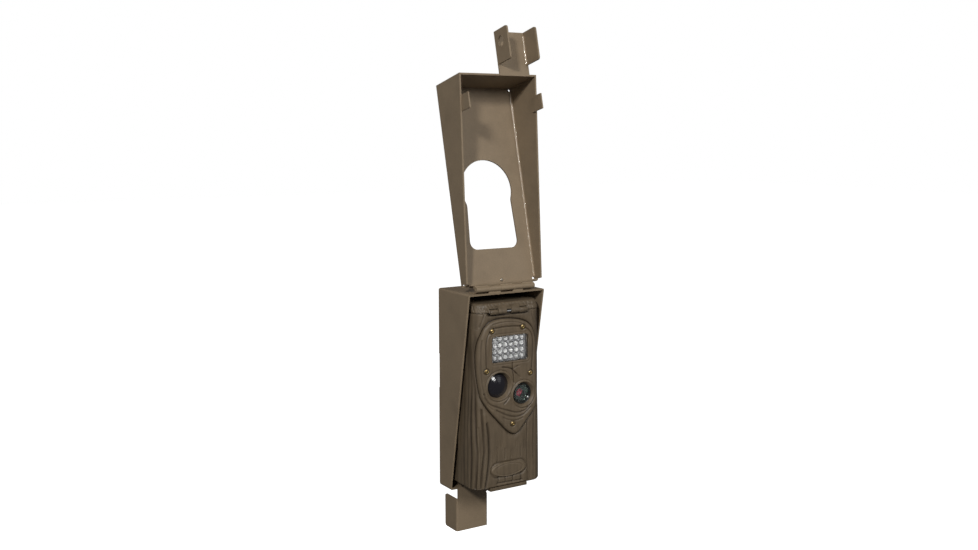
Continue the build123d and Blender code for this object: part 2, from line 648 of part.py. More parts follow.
with BuildPart() as face_bezel:
    extrude(bezel_outline(0), amount=BEZEL_REAR - BEZEL_FRONT)
    chamfer(faces().sort_by(Axis.Y)[0].edges(), 1.0)
    plate_y(FLASH, *FLASH_SIZE, -70, -80, corner=2, mode=Mode.SUBTRACT)
    plate_y(FLASH, FLASH_SIZE[0] + 2 * PANE_LIP, FLASH_SIZE[1] + 2 * PANE_LIP, -70, PANE_FRONT,
            corner=3, mode=Mode.SUBTRACT)
    disc_y(PIR, PIR_R + 0.4, -70, -80, Mode.SUBTRACT)
    disc_y(LENS, LENS_R, -70, -80, Mode.SUBTRACT)
    eye_rims = edges().filter_by(GeomType.CIRCLE).filter_by(
        lambda e: e.radius > LENS_R - 0.1 and e.center().Y < BEZEL_FRONT + 0.1
    )
    chamfer(eye_rims, EYE_FLARE)
    for centre in BEZEL_SCREWS:
        disc_y(centre, SCREW_R + 0.2, -70, -80, Mode.SUBTRACT)

with BuildPart() as bezel_screws:
    for centre in BEZEL_SCREWS:
        disc_y(centre, SCREW_R, -66.5, BEZEL_FRONT)
        cap_y(centre, SCREW_HEAD_R, BEZEL_FRONT, 1.3)

with BuildPart() as flash_window:
    plate_y(FLASH, FLASH_SIZE[0] + 2 * PANE_LIP - 0.1, FLASH_SIZE[1] + 2 * PANE_LIP - 0.1,
            PANE_REAR, PANE_FRONT, corner=3)

with BuildPart() as led_board:
    plate_y(LED_CENTRE, 50, 34, LED_BOARD_REAR, LED_BOARD_FRONT, corner=1)

with BuildPart() as flash_leds:
    for column in range(6):
        for row in range(4):
            spot = (LED_CENTRE[0] + (column - 2.5) * LED_PITCH,
                    LED_CENTRE[1] + (row - 1.5) * LED_PITCH)
            disc_y(spot, LED_R + 0.4, LED_BOARD_FRONT, LED_BOARD_FRONT - 1)
            disc_y(spot, LED_R, LED_BOARD_FRONT, LED_BOARD_FRONT - LED_BODY)
            cap_y(spot, LED_R, LED_BOARD_FRONT - LED_BODY, LED_R - 0.4)

with BuildPart() as led_header:
    for pin in range(-4, 5):
        x = pin * HEADER_PITCH
        block(x - 0.32, x + 0.32, LED_BOARD_REAR, BOARD_FRONT, 161, 161.64)

with BuildPart() as pir_lens:
    cap_y(PIR, PIR_R - 0.2, -72, 4.6)
    disc_y(PIR, PIR_R - 0.2, -70.8, -72)
    cap_y(PIR, PIR_R - 1.8, -72, 3.6, Mode.SUBTRACT)
    disc_y(PIR, PIR_R - 1.8, -70, -72, Mode.SUBTRACT)

with BuildPart() as pir_sensor:
    disc_y(PIR, 4.6, BOARD_FRONT, -55.5)
    disc_y(PIR, 5.2, BOARD_FRONT, -51)

with BuildPart() as lens_window:
    disc_y(LENS, LENS_GLASS_R - 0.1, -70.8, -72.2)

with BuildPart() as lens_barrel:
    disc_y(LENS, BARREL_R, -56, -69)
    plate_y(LENS, 16, 16, -51.3, -56.5, corner=2)
    disc_y(LENS, ELEMENT_R + 0.1, -50, -70, Mode.SUBTRACT)

with BuildPart() as front_element:
    disc_y(LENS, ELEMENT_R, -64, -66)
    cap_y(LENS, ELEMENT_R, -66, 1.9)

with BuildPart() as image_sensor:
    plate_y(LENS, 9, 9, BOARD_FRONT, -51.2)

with BuildPart() as main_board:
    plate_y((0, 111), 66, 176, BOARD_REAR, BOARD_FRONT, corner=2)
    for centre in STANDOFFS:
        disc_y(centre, 1.2, -47, -51, Mode.SUBTRACT)

with BuildPart() as board_standoffs:
    for centre in STANDOFFS:
        disc_y(centre, 2.4, PANEL_FRONT, BOARD_REAR)

with BuildPart() as inner_panel:
    plate_y((0, 112.5), 81, 196, PANEL_REAR, PANEL_FRONT, corner=8)
    plate_y(LCD, *LCD_SIZE, -40, -48, corner=1.5, mode=Mode.SUBTRACT)
    disc_y(KNOB, SHAFT_R + 0.5, -40, -48, Mode.SUBTRACT)
    for centre in BUTTONS.values():
        disc_y(centre, BUTTON_R + 0.3, -40, -48, Mode.SUBTRACT)
    for centre in PANEL_SCREWS:
        disc_y(centre, 1.6, -40, -48, Mode.SUBTRACT)

with BuildPart() as panel_screws:
    for centre in PANEL_SCREWS:
        disc_y(centre, PANEL_SCREW_R, PANEL_REAR, -56)
        disc_y(centre, 2 * PANEL_SCREW_R, -41.9, PANEL_REAR)

with BuildPart() as lcd_display:
    plate_y(LCD, LCD_SIZE[0] + 4, LCD_SIZE[1] + 3, BOARD_REAR + 3.2, BOARD_REAR)

with BuildPart() as lcd_window:
    plate_y(LCD, LCD_SIZE[0] - 0.1, LCD_SIZE[1] - 0.1, PANEL_REAR - 0.2, PANEL_FRONT + 0.3,
            corner=1.5)

with BuildPart() as rotary_switch:
    plate_y(KNOB, 13, 13, -45.8, BOARD_REAR)
    disc_y(KNOB, SHAFT_R + PIN_CLEARANCE, -45, -47.6, Mode.SUBTRACT)

with BuildPart() as tact_switches:
    for centre in BUTTONS.values():
        plate_y(centre, 6, 6, -46.6, BOARD_REAR)

with BuildPart() as mode_knob:
    disc_y(KNOB, KNOB_R, -36.6, -42.4)
    disc_y(KNOB, SHAFT_R, -42.4, -47.4)
    plate_y(KNOB, 2.4, 2 * KNOB_R - 2, -35.8, -36.6, corner=0.6)

BUTTON_PARTS = {}
for button_name, centre in BUTTONS.items():
    with BuildPart() as button:
        disc_y(centre, BUTTON_R, -40.6, -45.6)
        fillet(edges().filter_by(GeomType.CIRCLE).sort_by(Axis.Y)[-1], 0.8)
    BUTTON_PARTS[button_name] = button

with BuildPart() as sd_socket:
    block(SD_CENTRE_X - 14, SD_CENTRE_X + 14, PANEL_REAR, PANEL_REAR + 4.2, SD_BOTTOM - 2,
          SD_BOTTOM + 24)
    block(SD_CENTRE_X - 12.4, SD_CENTRE_X + 12.4, -42.9, -40.2, SD_BOTTOM - 0.4, SD_BOTTOM + 40,
          Mode.SUBTRACT)

with BuildPart() as sd_card:
    with BuildSketch(front_plane(-40.5)):
        with BuildLine():
            Polyline(
                [(x + SD_CENTRE_X, up(SD_BOTTOM + z)) for x, z in
                 [(-12, 4), (-8, 0), (12, 0), (12, 32), (-12, 32)]],
                close=True,
            )
        make_face()
    extrude(amount=2.1)

with BuildPart() as oval_badge:
    with BuildSketch(front_plane(DOOR_FRONT)):
        with Locations((BADGE[0], up(BADGE[1]))):
            Ellipse(*BADGE_HALF)
    extrude(amount=1.2)

# ================================================================ latch
with BuildPart() as door_latch:
    profile_x(
        [(-77.8, 8.6), (-66, 8.6), (-66, 10.6), (-76, 10.6), (-76, 12.4), (-77.8, 12.4)],
        LATCH_LEFT, LATCH_RIGHT,
    )
    bar_x(LATCH_Y, LATCH_Z, 1.6, LATCH_LEFT, LATCH_RIGHT)
    profile_x(
        [(-67, 8.6), (-31, 8.6), (-31, 12.6), (-33, 12.6), (-33, 10.6), (-67, 10.6)],
        -NOSE_HALF, NOSE_HALF,
    )
    bar_x(LATCH_Y, LATCH_Z, LATCH_PIN_R + PIN_CLEARANCE, -30, 30, Mode.SUBTRACT)

with BuildPart() as latch_pin:
    bar_x(LATCH_Y, LATCH_Z, LATCH_PIN_R, LATCH_LEFT - EAR, LATCH_RIGHT + EAR)

PARTS = {
    "box_base": box_base, "base_hinge_leaf": base_hinge_leaf, "box_hinge_pin": box_hinge_pin,
    "box_cover": box_cover, "cover_hinge_leaf": cover_hinge_leaf, "cover_rivet": cover_rivet,
    "camera_bracket": camera_bracket, "bracket_screws": bracket_screws, "rear_pads": rear_pads,
    "rear_housing": rear_housing, "door_gasket": door_gasket, "door_hinge_pin": door_hinge_pin,
    "battery_tray": battery_tray, "battery_cells": battery_cells,
    "battery_contacts": battery_contacts, "battery_springs": battery_springs,
    "front_shell": front_shell, "face_bezel": face_bezel, "bezel_screws": bezel_screws,
    "flash_window": flash_window, "led_board": led_board, "flash_leds": flash_leds,
    "led_header": led_header, "pir_lens": pir_lens, "pir_sensor": pir_sensor,
    "lens_window": lens_window, "lens_barrel": lens_barrel, "front_element": front_element,
    "image_sensor": image_sensor, "main_board": main_board,
    "board_standoffs": board_standoffs, "inner_panel": inner_panel,
    "panel_screws": panel_screws, "lcd_display": lcd_display, "lcd_window": lcd_window,
    "rotary_switch": rotary_switch, "tact_switches": tact_switches, "mode_knob": mode_knob,
    "sd_socket": sd_socket, "sd_card": sd_card, "oval_badge": oval_badge,
    "door_latch": door_latch, "latch_pin": latch_pin,
    "set_button": BUTTON_PARTS["set_button"], "more_button": BUTTON_PARTS["more_button"],
}
for part_name, builder in PARTS.items():
    save(builder, part_name)
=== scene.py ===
import math
import bpy
import bmesh
import numpy as np
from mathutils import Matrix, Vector


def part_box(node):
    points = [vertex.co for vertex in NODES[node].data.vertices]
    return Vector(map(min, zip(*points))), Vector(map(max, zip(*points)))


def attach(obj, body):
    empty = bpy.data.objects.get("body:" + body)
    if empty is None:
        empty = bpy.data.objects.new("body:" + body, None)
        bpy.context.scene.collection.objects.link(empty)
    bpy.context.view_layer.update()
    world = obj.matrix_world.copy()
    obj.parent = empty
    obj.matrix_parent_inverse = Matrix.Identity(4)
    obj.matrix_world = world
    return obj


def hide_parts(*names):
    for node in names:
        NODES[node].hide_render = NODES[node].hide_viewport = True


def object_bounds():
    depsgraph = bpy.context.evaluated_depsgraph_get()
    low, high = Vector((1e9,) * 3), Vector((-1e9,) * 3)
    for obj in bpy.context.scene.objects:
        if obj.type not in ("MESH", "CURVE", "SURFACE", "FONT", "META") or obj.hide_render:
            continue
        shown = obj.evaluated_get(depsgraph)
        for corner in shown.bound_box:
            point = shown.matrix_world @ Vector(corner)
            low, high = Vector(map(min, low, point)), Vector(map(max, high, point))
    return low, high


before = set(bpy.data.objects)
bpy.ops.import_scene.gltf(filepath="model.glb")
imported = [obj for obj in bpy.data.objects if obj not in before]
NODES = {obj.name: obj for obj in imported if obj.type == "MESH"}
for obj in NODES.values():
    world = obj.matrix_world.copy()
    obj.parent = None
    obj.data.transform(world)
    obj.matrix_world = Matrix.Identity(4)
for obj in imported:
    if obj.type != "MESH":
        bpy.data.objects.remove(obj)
cad_low, cad_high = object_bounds()
MM = 0.001


# ------ materials
def new_material(name):
    material = bpy.data.materials.new(name)
    material.use_nodes = True
    tree = material.node_tree
    shader = next(n for n in tree.nodes if n.type == "BSDF_PRINCIPLED")
    return material, tree, shader


def node(tree, kind, **values):
    """New node. A value sets the property of that name, or else the input, _ for a space."""
    made = tree.nodes.new(kind)
    for key, value in values.items():
        if hasattr(made, key):
            setattr(made, key, value)
        else:
            made.inputs[key.replace("_", " ")].default_value = value
    return made


def coordinates(tree, stretch=(1, 1, 1)):
    place = node(tree, "ShaderNodeTexCoord")
    mapping = node(tree, "ShaderNodeMapping")
    mapping.inputs["Scale"].default_value = stretch
    tree.links.new(place.outputs["Object"], mapping.inputs["Vector"])
    return mapping.outputs["Vector"]


def noise_of(tree, vector, scale, detail=4.0, roughness=0.55):
    made = node(tree, "ShaderNodeTexNoise", Scale=scale, Detail=detail, Roughness=roughness)
    tree.links.new(vector, made.inputs["Vector"])
    return made.outputs["Fac"]


def ramp(tree, source, stops):
    made = node(tree, "ShaderNodeValToRGB")
    elements = made.color_ramp.elements
    while len(elements) < len(stops):
        elements.new(0.5)
    for element, (place, colour) in zip(elements, stops):
        element.position = place
        element.color = (*colour, 1.0)
    tree.links.new(source, made.inputs["Fac"])
    return made.outputs["Color"]


def multiply(tree, first, second):
    mix = node(tree, "ShaderNodeMix", data_type="RGBA", blend_type="MULTIPLY", Factor=1.0)
    tree.links.new(first, mix.inputs["A"])
    tree.links.new(second, mix.inputs["B"])
    return mix.outputs["Result"]


def span(tree, source, low, high):
    """Spreads the middle of a noise over the range from low to high."""
    made = node(tree, "ShaderNodeMapRange", To_Min=low, To_Max=high, From_Min=0.3, From_Max=0.7)
    tree.links.new(source, made.inputs["Value"])
    return made.outputs["Result"]


def add_bump(tree, shader, layers):
    """Bump from (height source, strength, distance in metres) layers, one on the other."""
    normal = None
    for source, strength, distance in layers:
        made = node(tree, "ShaderNodeBump", Strength=strength, Distance=distance)
        tree.links.new(source, made.inputs["Height"])
        if normal is not None:
            tree.links.new(normal, made.inputs["Normal"])
        normal = made.outputs["Normal"]
    tree.links.new(normal, shader.inputs["Normal"])


# painted shade at the bottom of a groove: this colour multiplies the base colour where the relief
# sinks
PAINTED_GROOVE_SHADE = (0.42, 0.39, 0.36, 1)


def shade(colour, factor):
    return tuple(min(1.0, c * factor) for c in colour)


def powder_coat(name, colour, grain=1.0):
    """Baked powder coat: a fine pebbled skin, faint mottling and a few rubbed spots."""
    material, tree, shader = new_material(name)
    vector = coordinates(tree)
    cloud = noise_of(tree, vector, 34, 5, 0.6)
    pebble = noise_of(tree, vector, 1500, 3, 0.5)
    orange_peel = noise_of(tree, vector, 420, 2, 0.5)
    tint = ramp(tree, cloud, [(0.25, shade(colour, 0.86)), (0.5, colour),
                              (0.8, shade(colour, 1.1))])
    speck = ramp(tree, pebble, [(0.3, (0.86, 0.86, 0.86)), (0.62, (1, 1, 1)),
                                (0.8, (1.12, 1.12, 1.12))])
    tree.links.new(multiply(tree, tint, speck), shader.inputs["Base Color"])
    tree.links.new(span(tree, cloud, 0.42, 0.56), shader.inputs["Roughness"])
    shader.inputs["Specular IOR Level"].default_value = 0.42
    add_bump(tree, shader, [(orange_peel, 0.25 * grain, 0.0002),
                            (pebble, 0.35 * grain, 0.00008)])
    return material


def moulded_plastic(name, colour, rough=(0.42, 0.6), stretch=(1, 1, 0.12)):
    """Moulded plastic with a spark-eroded grain and streaks that run up the part."""
    material, tree, shader = new_material(name)
    vector = coordinates(tree)
    streaks = noise_of(tree, coordinates(tree, stretch), 260, 5, 0.6)
    grain = noise_of(tree, vector, 2100, 2, 0.5)
    cloud = noise_of(tree, vector, 45, 4, 0.6)
    tint = ramp(tree, streaks, [(0.28, shade(colour, 0.78)), (0.5, colour),
                                (0.76, shade(colour, 1.18))])
    patch = ramp(tree, cloud, [(0.3, (0.88, 0.88, 0.88)), (0.7, (1.08, 1.07, 1.05))])
    # painted shade: a value stored per vertex darkens the base colour in grooves, slots and round
    # the bezel
    shade_attribute = node(tree, "ShaderNodeAttribute", attribute_name="painted_shade")
    dark = node(tree, "ShaderNodeMix", data_type="RGBA", blend_type="MULTIPLY")
    dark.inputs["B"].default_value = PAINTED_GROOVE_SHADE
    tree.links.new(shade_attribute.outputs["Fac"], dark.inputs["Factor"])
    tree.links.new(multiply(tree, tint, patch), dark.inputs["A"])
    tree.links.new(dark.outputs["Result"], shader.inputs["Base Color"])
    tree.links.new(span(tree, streaks, rough[0], rough[1]), shader.inputs["Roughness"])
    shader.inputs["Specular IOR Level"].default_value = 0.5
    add_bump(tree, shader, [(streaks, 0.3, 0.0003), (grain, 0.25, 0.00006)])
    return material


def metal(name, colour, rough=(0.22, 0.4), stretch=(1, 1, 1), scale=900):
    material, tree, shader = new_material(name)
    vector = coordinates(tree, stretch)
    scratches = noise_of(tree, vector, scale, 4, 0.65)
    tarnish = noise_of(tree, coordinates(tree), 120, 4, 0.6)
    tint = ramp(tree, tarnish, [(0.3, shade(colour, 0.72)), (0.6, colour),
                                (0.85, shade(colour, 1.1))])
    tree.links.new(tint, shader.inputs["Base Color"])
    tree.links.new(span(tree, scratches, rough[0], rough[1]), shader.inputs["Roughness"])
    shader.inputs["Metallic"].default_value = 1.0
    add_bump(tree, shader, [(scratches, 0.2, 0.00004)])
    return material


def plain_gloss(name, colour, roughness, coat=0.0, grain_scale=600, grain=0.05):
    """Smooth gloss or satin surface with faint cloudiness."""
    material, tree, shader = new_material(name)
    cloud = noise_of(tree, coordinates(tree), grain_scale, 3, 0.5)
    tint = ramp(tree, cloud, [(0.3, shade(colour, 0.9)), (0.7, shade(colour, 1.1))])
    tree.links.new(tint, shader.inputs["Base Color"])
    tree.links.new(span(tree, cloud, roughness, roughness + 0.05), shader.inputs["Roughness"])
    shader.inputs["Coat Weight"].default_value = coat
    shader.inputs["Coat Roughness"].default_value = 0.05
    add_bump(tree, shader, [(cloud, grain, 0.00005)])
    return material


def clear(name, colour, roughness, transmission=1.0, ior=1.49):
    material, tree, shader = new_material(name)
    haze = noise_of(tree, coordinates(tree), 300, 3, 0.5)
    tint = ramp(tree, haze, [(0.3, shade(colour, 0.97)), (0.7, colour)])
    tree.links.new(tint, shader.inputs["Base Color"])
    tree.links.new(span(tree, haze, roughness, roughness + 0.03), shader.inputs["Roughness"])
    shader.inputs["Transmission Weight"].default_value = transmission
    shader.inputs["IOR"].default_value = ior
    return material


STEEL_COLOUR = (0.262, 0.198, 0.13)
PLASTIC_COLOUR = (0.122, 0.091, 0.058)
STEEL = powder_coat("powder_coat", STEEL_COLOUR)
# lighter copy of the coat for bevelled steel edges: a painted highlight
STEEL_EDGE_HIGHLIGHT = powder_coat("powder_coat_edge_highlight", shade(STEEL_COLOUR, 1.45), 0.6)
RIVET = metal("rivet_steel", (0.5, 0.44, 0.36), (0.25, 0.4))
PLASTIC = moulded_plastic("bark_plastic", PLASTIC_COLOUR)
BEZEL_PLASTIC = moulded_plastic("bezel_plastic", shade(PLASTIC_COLOUR, 1.1))
BRASS = metal("brass", (0.5, 0.36, 0.16), (0.24, 0.38))
BRIGHT = metal("bright_steel", (0.86, 0.86, 0.85), (0.1, 0.22), (0.1, 1, 1))
ZINC = metal("zinc_plate", (0.6, 0.61, 0.62), (0.28, 0.45))
SILVER = metal("led_reflector", (0.34, 0.335, 0.33), (0.26, 0.4))
RUBBER = plain_gloss("rubber", (0.02, 0.02, 0.021), 0.7, 0.0, 900, 0.3)
BLACK = moulded_plastic("black_plastic", (0.022, 0.022, 0.024), (0.4, 0.55), (1, 1, 1))
DOME = plain_gloss("pir_dome", (0.012, 0.011, 0.015), 0.12, 0.6, 500, 0.08)
SCREEN = plain_gloss("display_glass", (0.09, 0.11, 0.09), 0.08, 0.5, 500, 0.02)
BOARD = plain_gloss("solder_mask", (0.015, 0.11, 0.045), 0.28, 0.4, 1200, 0.15)
CHIP = plain_gloss("chip_epoxy", (0.02, 0.02, 0.022), 0.45, 0.0, 1500, 0.2)
WRAP = plain_gloss("cell_wrap", (0.014, 0.015, 0.018), 0.28, 0.4, 60, 0.02)
GREY_KEY = moulded_plastic("key_grey", (0.3, 0.3, 0.31), (0.4, 0.5), (1, 1, 1))
CARD = plain_gloss("card_plastic", (0.02, 0.035, 0.1), 0.35, 0.0, 900, 0.1)
CLEAR = clear("clear_plastic", (0.97, 0.98, 0.99), 0.01)
EPOXY = clear("led_epoxy", (0.9, 0.89, 0.87), 0.1, 0.08, 1.52)
LENS_GLASS = clear("lens_glass", (0.6, 0.7, 0.65), 0.0, 1.0, 1.52)
FILTER = plain_gloss("filter_coating", (0.95, 0.07, 0.15), 0.3, 0.2, 300, 0.02)
DARK_GLASS = plain_gloss("dark_glass", (0.003, 0.014, 0.009), 0.08, 0.2, 300, 0.01)

NODE_MATERIALS = [
    (STEEL, "box_base base_hinge_leaf box_hinge_pin box_cover cover_hinge_leaf"),
    (RIVET, "cover_rivet"),
    (ZINC, "camera_bracket bracket_screws battery_contacts battery_springs led_header"),
    (ZINC, "pir_sensor board_standoffs panel_screws sd_socket latch_pin"),
    (RUBBER, "rear_pads door_gasket"),
    (PLASTIC, "rear_housing front_shell door_latch"),
    (BRIGHT, "door_hinge_pin"),
    (BLACK, "battery_tray lens_barrel inner_panel rotary_switch tact_switches mode_knob"),
    (WRAP, "battery_cells"),
    (BEZEL_PLASTIC, "face_bezel oval_badge"),
    (BRASS, "bezel_screws"),
    (CLEAR, "flash_window lcd_window"),
    (BOARD, "led_board main_board"),
    (EPOXY, "flash_leds"),
    (DOME, "pir_lens"),
    (LENS_GLASS, "lens_window"),
    (FILTER, "front_element"),
    (CHIP, "image_sensor"),
    (SCREEN, "lcd_display"),
    (GREY_KEY, "set_button more_button"),
    (CARD, "sd_card"),
]
# bevel widths in mm
BEVELS = {
    "box_base": 0.35, "box_cover": 0.35, "base_hinge_leaf": 0.25, "cover_hinge_leaf": 0.25,
    "rear_housing": 0.4, "door_latch": 0.4, "set_button": 0.3, "more_button": 0.3,
    "camera_bracket": 0.3, "sd_socket": 0.15, "sd_card": 0.15, "battery_tray": 0.4,
    "inner_panel": 0.3,
}
WELD_GAP = 0.00001
BEVEL_ANGLE = math.radians(40)


def finish_node(body, material, width):
    """Material for a CAD node, with a small bevel on its cut edges where a width is given; steel
    bevels take a lighter copy of the coat, a painted highlight.
    """
    body.data.materials.clear()
    body.data.materials.append(material)
    if width:
        weld = body.modifiers.new("weld", "WELD")
        weld.merge_threshold = WELD_GAP
        bevel = body.modifiers.new("bevel", "BEVEL")
        bevel.width = width * MM
        bevel.segments = 2
        bevel.limit_method = "ANGLE"
        bevel.angle_limit = BEVEL_ANGLE
        bevel.harden_normals = False
        if material is STEEL:
            # the bevel faces take the lighter coat: painted highlight on the edges
            body.data.materials.append(STEEL_EDGE_HIGHLIGHT)
            bevel.material = 1
    body.data.shade_smooth()
    smooth = body.modifiers.new("weighted", "WEIGHTED_NORMAL")
    smooth.keep_sharp = True
    smooth.weight = 60


for node_material, node_names in NODE_MATERIALS:
    for node_name in node_names.split():
        finish_node(NODES[node_name], node_material, BEVELS.get(node_name))


# ------ mesh helpers
# Shapes below are worked out in millimetres: x to the right, y towards the tree and h the
# height above the bottom of the steel box. FLOOR is the lowest point of the box, its tail.
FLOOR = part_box("box_base")[0].z
BOX_BOTTOM_DROP = 52 * MM
BASE_LEVEL = FLOOR + BOX_BOTTOM_DROP


def to_row(points):
    """Millimetre points (x, y, h) as row coordinates in metres."""
    points = np.asarray(points, float) * MM
    points[:, 2] += BASE_LEVEL
    return points


def new_object(name, points, faces):
    """Object from millimetre points, with its normals facing out."""
    mesh = bpy.data.meshes.new(name)
    mesh.from_pydata([tuple(p) for p in to_row(points)], [], [tuple(f) for f in faces])
    mesh.validate()
    mesh.update()
    work = bmesh.new()
    work.from_mesh(mesh)
    bmesh.ops.recalc_face_normals(work, faces=work.faces)
    work.to_mesh(mesh)
    work.free()
    made = bpy.data.objects.new(name, mesh)
    bpy.context.scene.collection.objects.link(made)
    return made


def make_piece(name, points, faces, material, body, slot, *nodes, smooth=True):
    piece = new_object(name, points, faces)
    piece.data.materials.append(material)
    if smooth:
        piece.data.shade_smooth()
    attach(piece, body)
    if nodes:
        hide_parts(*nodes)
    return piece


def store_painted_shade(piece, values):
    """Painted shade from the depth of the relief, stored at the first vertices of a piece, which
    darkens its grooves.
    """
    layer = piece.data.attributes.new("painted_shade", "FLOAT", "POINT")
    full = np.zeros(len(piece.data.vertices), dtype=np.float32)
    full[:len(values)] = values
    layer.data.foreach_set("value", full)


class Parts:
    """Collects closed shapes that end up in one mesh."""

    def __init__(self):
        self.points = []
        self.faces = []

    def add(self, points, faces):
        start = len(self.points)
        self.points.extend([tuple(p) for p in points])
        self.faces.extend([tuple(start + i for i in face) for face in faces])


def sheet_faces(rows, cols):
    """Faces of a closed sheet: a grid of front points, then the same grid behind it."""
    count = rows * cols
    faces = []
    for r in range(rows - 1):
        for c in range(cols - 1):
            i = r * cols + c
            faces.append((i, i + 1, i + cols + 1, i + cols))
            faces.append((count + i, count + i + cols, count + i + cols + 1, count + i + 1))
    loop = list(range(cols)) + [r * cols + cols - 1 for r in range(1, rows)]
    loop += [(rows - 1) * cols + c for c in range(cols - 2, -1, -1)]
    loop += [r * cols for r in range(rows - 2, 0, -1)]
    for i, j in zip(loop, loop[1:] + loop[:1]):
        faces.append((i, j, count + j, count + i))
    return faces


def loop_faces(rings, count):
    """Faces between rings of count points each, where the last ring joins the first."""
    faces = []
    for i in range(rings):
        here, there = i * count, (i + 1) % rings * count
        for k in range(count):
            after = (k + 1) % count
            faces.append((here + k, here + after, there + after, there + k))
    return faces


def stack_faces(levels, count):
    """Faces of a closed stack of rings that have count points each."""
    last = (levels - 1) * count
    ends = [tuple(range(count)), tuple(range(last, last + count))]
    return loop_faces(levels, count)[:last] + ends


def prism_x(profile, x0, x1):
    """Closed prism across the object from (y, h) points."""
    return [(x, y, h) for x in (x0, x1) for y, h in profile], stack_faces(2, len(profile))


def prism_y(outline, y_rear, y_front):
    """Closed prism along Y from (x, h) points."""
    return ([(x, y, h) for y in (y_rear, y_front) for x, h in outline],
            stack_faces(2, len(outline)))


def ring_points(radius, count, centre=(0.0, 0.0)):
    turns = np.linspace(0, 2 * math.pi, count, endpoint=False)
    return np.stack([centre[0] + radius * np.cos(turns), centre[1] + radius * np.sin(turns)], 1)


def knuckle(x0, x1, axis_y, axis_h, radius, segments=40):
    """Rolled knuckle with rounded rims, along X."""
    rim = [(0, 0.35), (0.105, 0.105), (0.35, 0)]
    stations = [(x0 + along, radius - cut) for along, cut in rim]
    stations += [(x1 - along, radius - cut) for along, cut in reversed(rim)]
    points = [(x, y, h) for x, r in stations
              for y, h in ring_points(r, segments, (axis_y, axis_h))]
    return points, stack_faces(len(stations), segments)


def lathe_y(profile, centre, segments=64):
    """Solid of revolution about an axis along Y. The closed profile holds (radius, y) points."""
    points = [(centre[0] + radius * math.cos(turn), y, centre[1] + radius * math.sin(turn))
              for turn in np.linspace(0, 2 * math.pi, segments, endpoint=False)
              for radius, y in profile]
    return points, loop_faces(segments, len(profile))


def smoothstep(low, high, value):
    t = np.clip((value - low) / (high - low), 0, 1)
    return t * t * (3 - 2 * t)


def bell(distance, width):
    """1 on a line, falling smoothly to 0 beside it."""
    return np.exp(-((distance / width) ** 2))


def path_distance(px, ph, path):
    """Distance from each point to a polyline."""
    best = np.full(np.shape(px), 1e9)
    for (x0, h0), (x1, h1) in zip(path[:-1], path[1:]):
        dx, dh = x1 - x0, h1 - h0
        t = np.clip(((px - x0) * dx + (ph - h0) * dh) / (dx * dx + dh * dh), 0, 1)
        best = np.minimum(best, np.hypot(px - x0 - t * dx, ph - h0 - t * dh))
    return best


def bend(path, steps=8):
    """Catmull-Rom curve through the points of a path."""
    points = [np.array(p, float) for p in path]
    points = [2 * points[0] - points[1]] + points + [2 * points[-1] - points[-2]]
    curve = []
    for a, b, c, d in zip(points[:-3], points[1:-2], points[2:-1], points[3:]):
        for t in np.linspace(0, 1, steps, endpoint=False):
            curve.append(tuple(0.5 * (2 * b + (c - a) * t + (2 * a - 5 * b + 4 * c - d) * t**2
                                      + (3 * b - a - 3 * c + d) * t**3)))
    curve.append(tuple(points[-2]))
    return curve


def grooves(px, ph, table):
    """Sum of rounded grooves. Each entry is (path, width, depth)."""
    total = np.zeros(np.shape(px))
    for path, width, depth in table:
        distance = path_distance(px, ph, bend(path) if len(path) > 2 else path)
        total -= depth * bell(distance, width)
    return total


def lattice_noise(u, v, seed):
    """Smooth noise between -1 and 1 from a seeded lattice."""
    table = np.random.default_rng(seed).uniform(-1, 1, (64, 64))
    iu, iv = np.floor(u).astype(int), np.floor(v).astype(int)
    fu, fv = u - iu, v - iv
    fu, fv = fu * fu * (3 - 2 * fu), fv * fv * (3 - 2 * fv)
    a = table[iu % 64, iv % 64]
    b = table[(iu + 1) % 64, iv % 64]
    c = table[iu % 64, (iv + 1) % 64]
    d = table[(iu + 1) % 64, (iv + 1) % 64]
    return (a * (1 - fu) + b * fu) * (1 - fv) + (c * (1 - fu) + d * fu) * fv


def grain(s, h, seed):
    """Long vertical wood grain."""
    drift = 1.6 * lattice_noise(s / 23, h / 31, seed + 5)
    fine = lattice_noise((s + drift) / 0.9, h / 26, seed)
    wide = lattice_noise((s + drift) / 2.6, h / 44, seed + 1)
    return 0.45 * fine + 0.55 * wide


# ------ bezel outline
BEZEL_MIDDLE = (-2.0, 145.0)
BEZEL_POINTS = [
    (3.2, 205.5), (-6.2, 206.4), (-15.5, 206.4), (-26, 204), (-33.6, 198), (-37, 191),
    (-39.8, 183), (-41.2, 175), (-41.7, 155), (-40.8, 139), (-39.4, 127), (-37.6, 118.8),
    (-32, 108.6), (-25.3, 100.1), (-13.4, 87.3), (-4, 77.4), (3.2, 72.4), (8, 71.6),
    (14.3, 75.5), (21.2, 83.4), (28, 90.8), (34, 98.6), (38.2, 108), (38.9, 117), (38.2, 129),
    (36.8, 147), (36.3, 162), (35.8, 172), (34, 182), (30.6, 191.6), (25.6, 198), (15, 203.2),
]


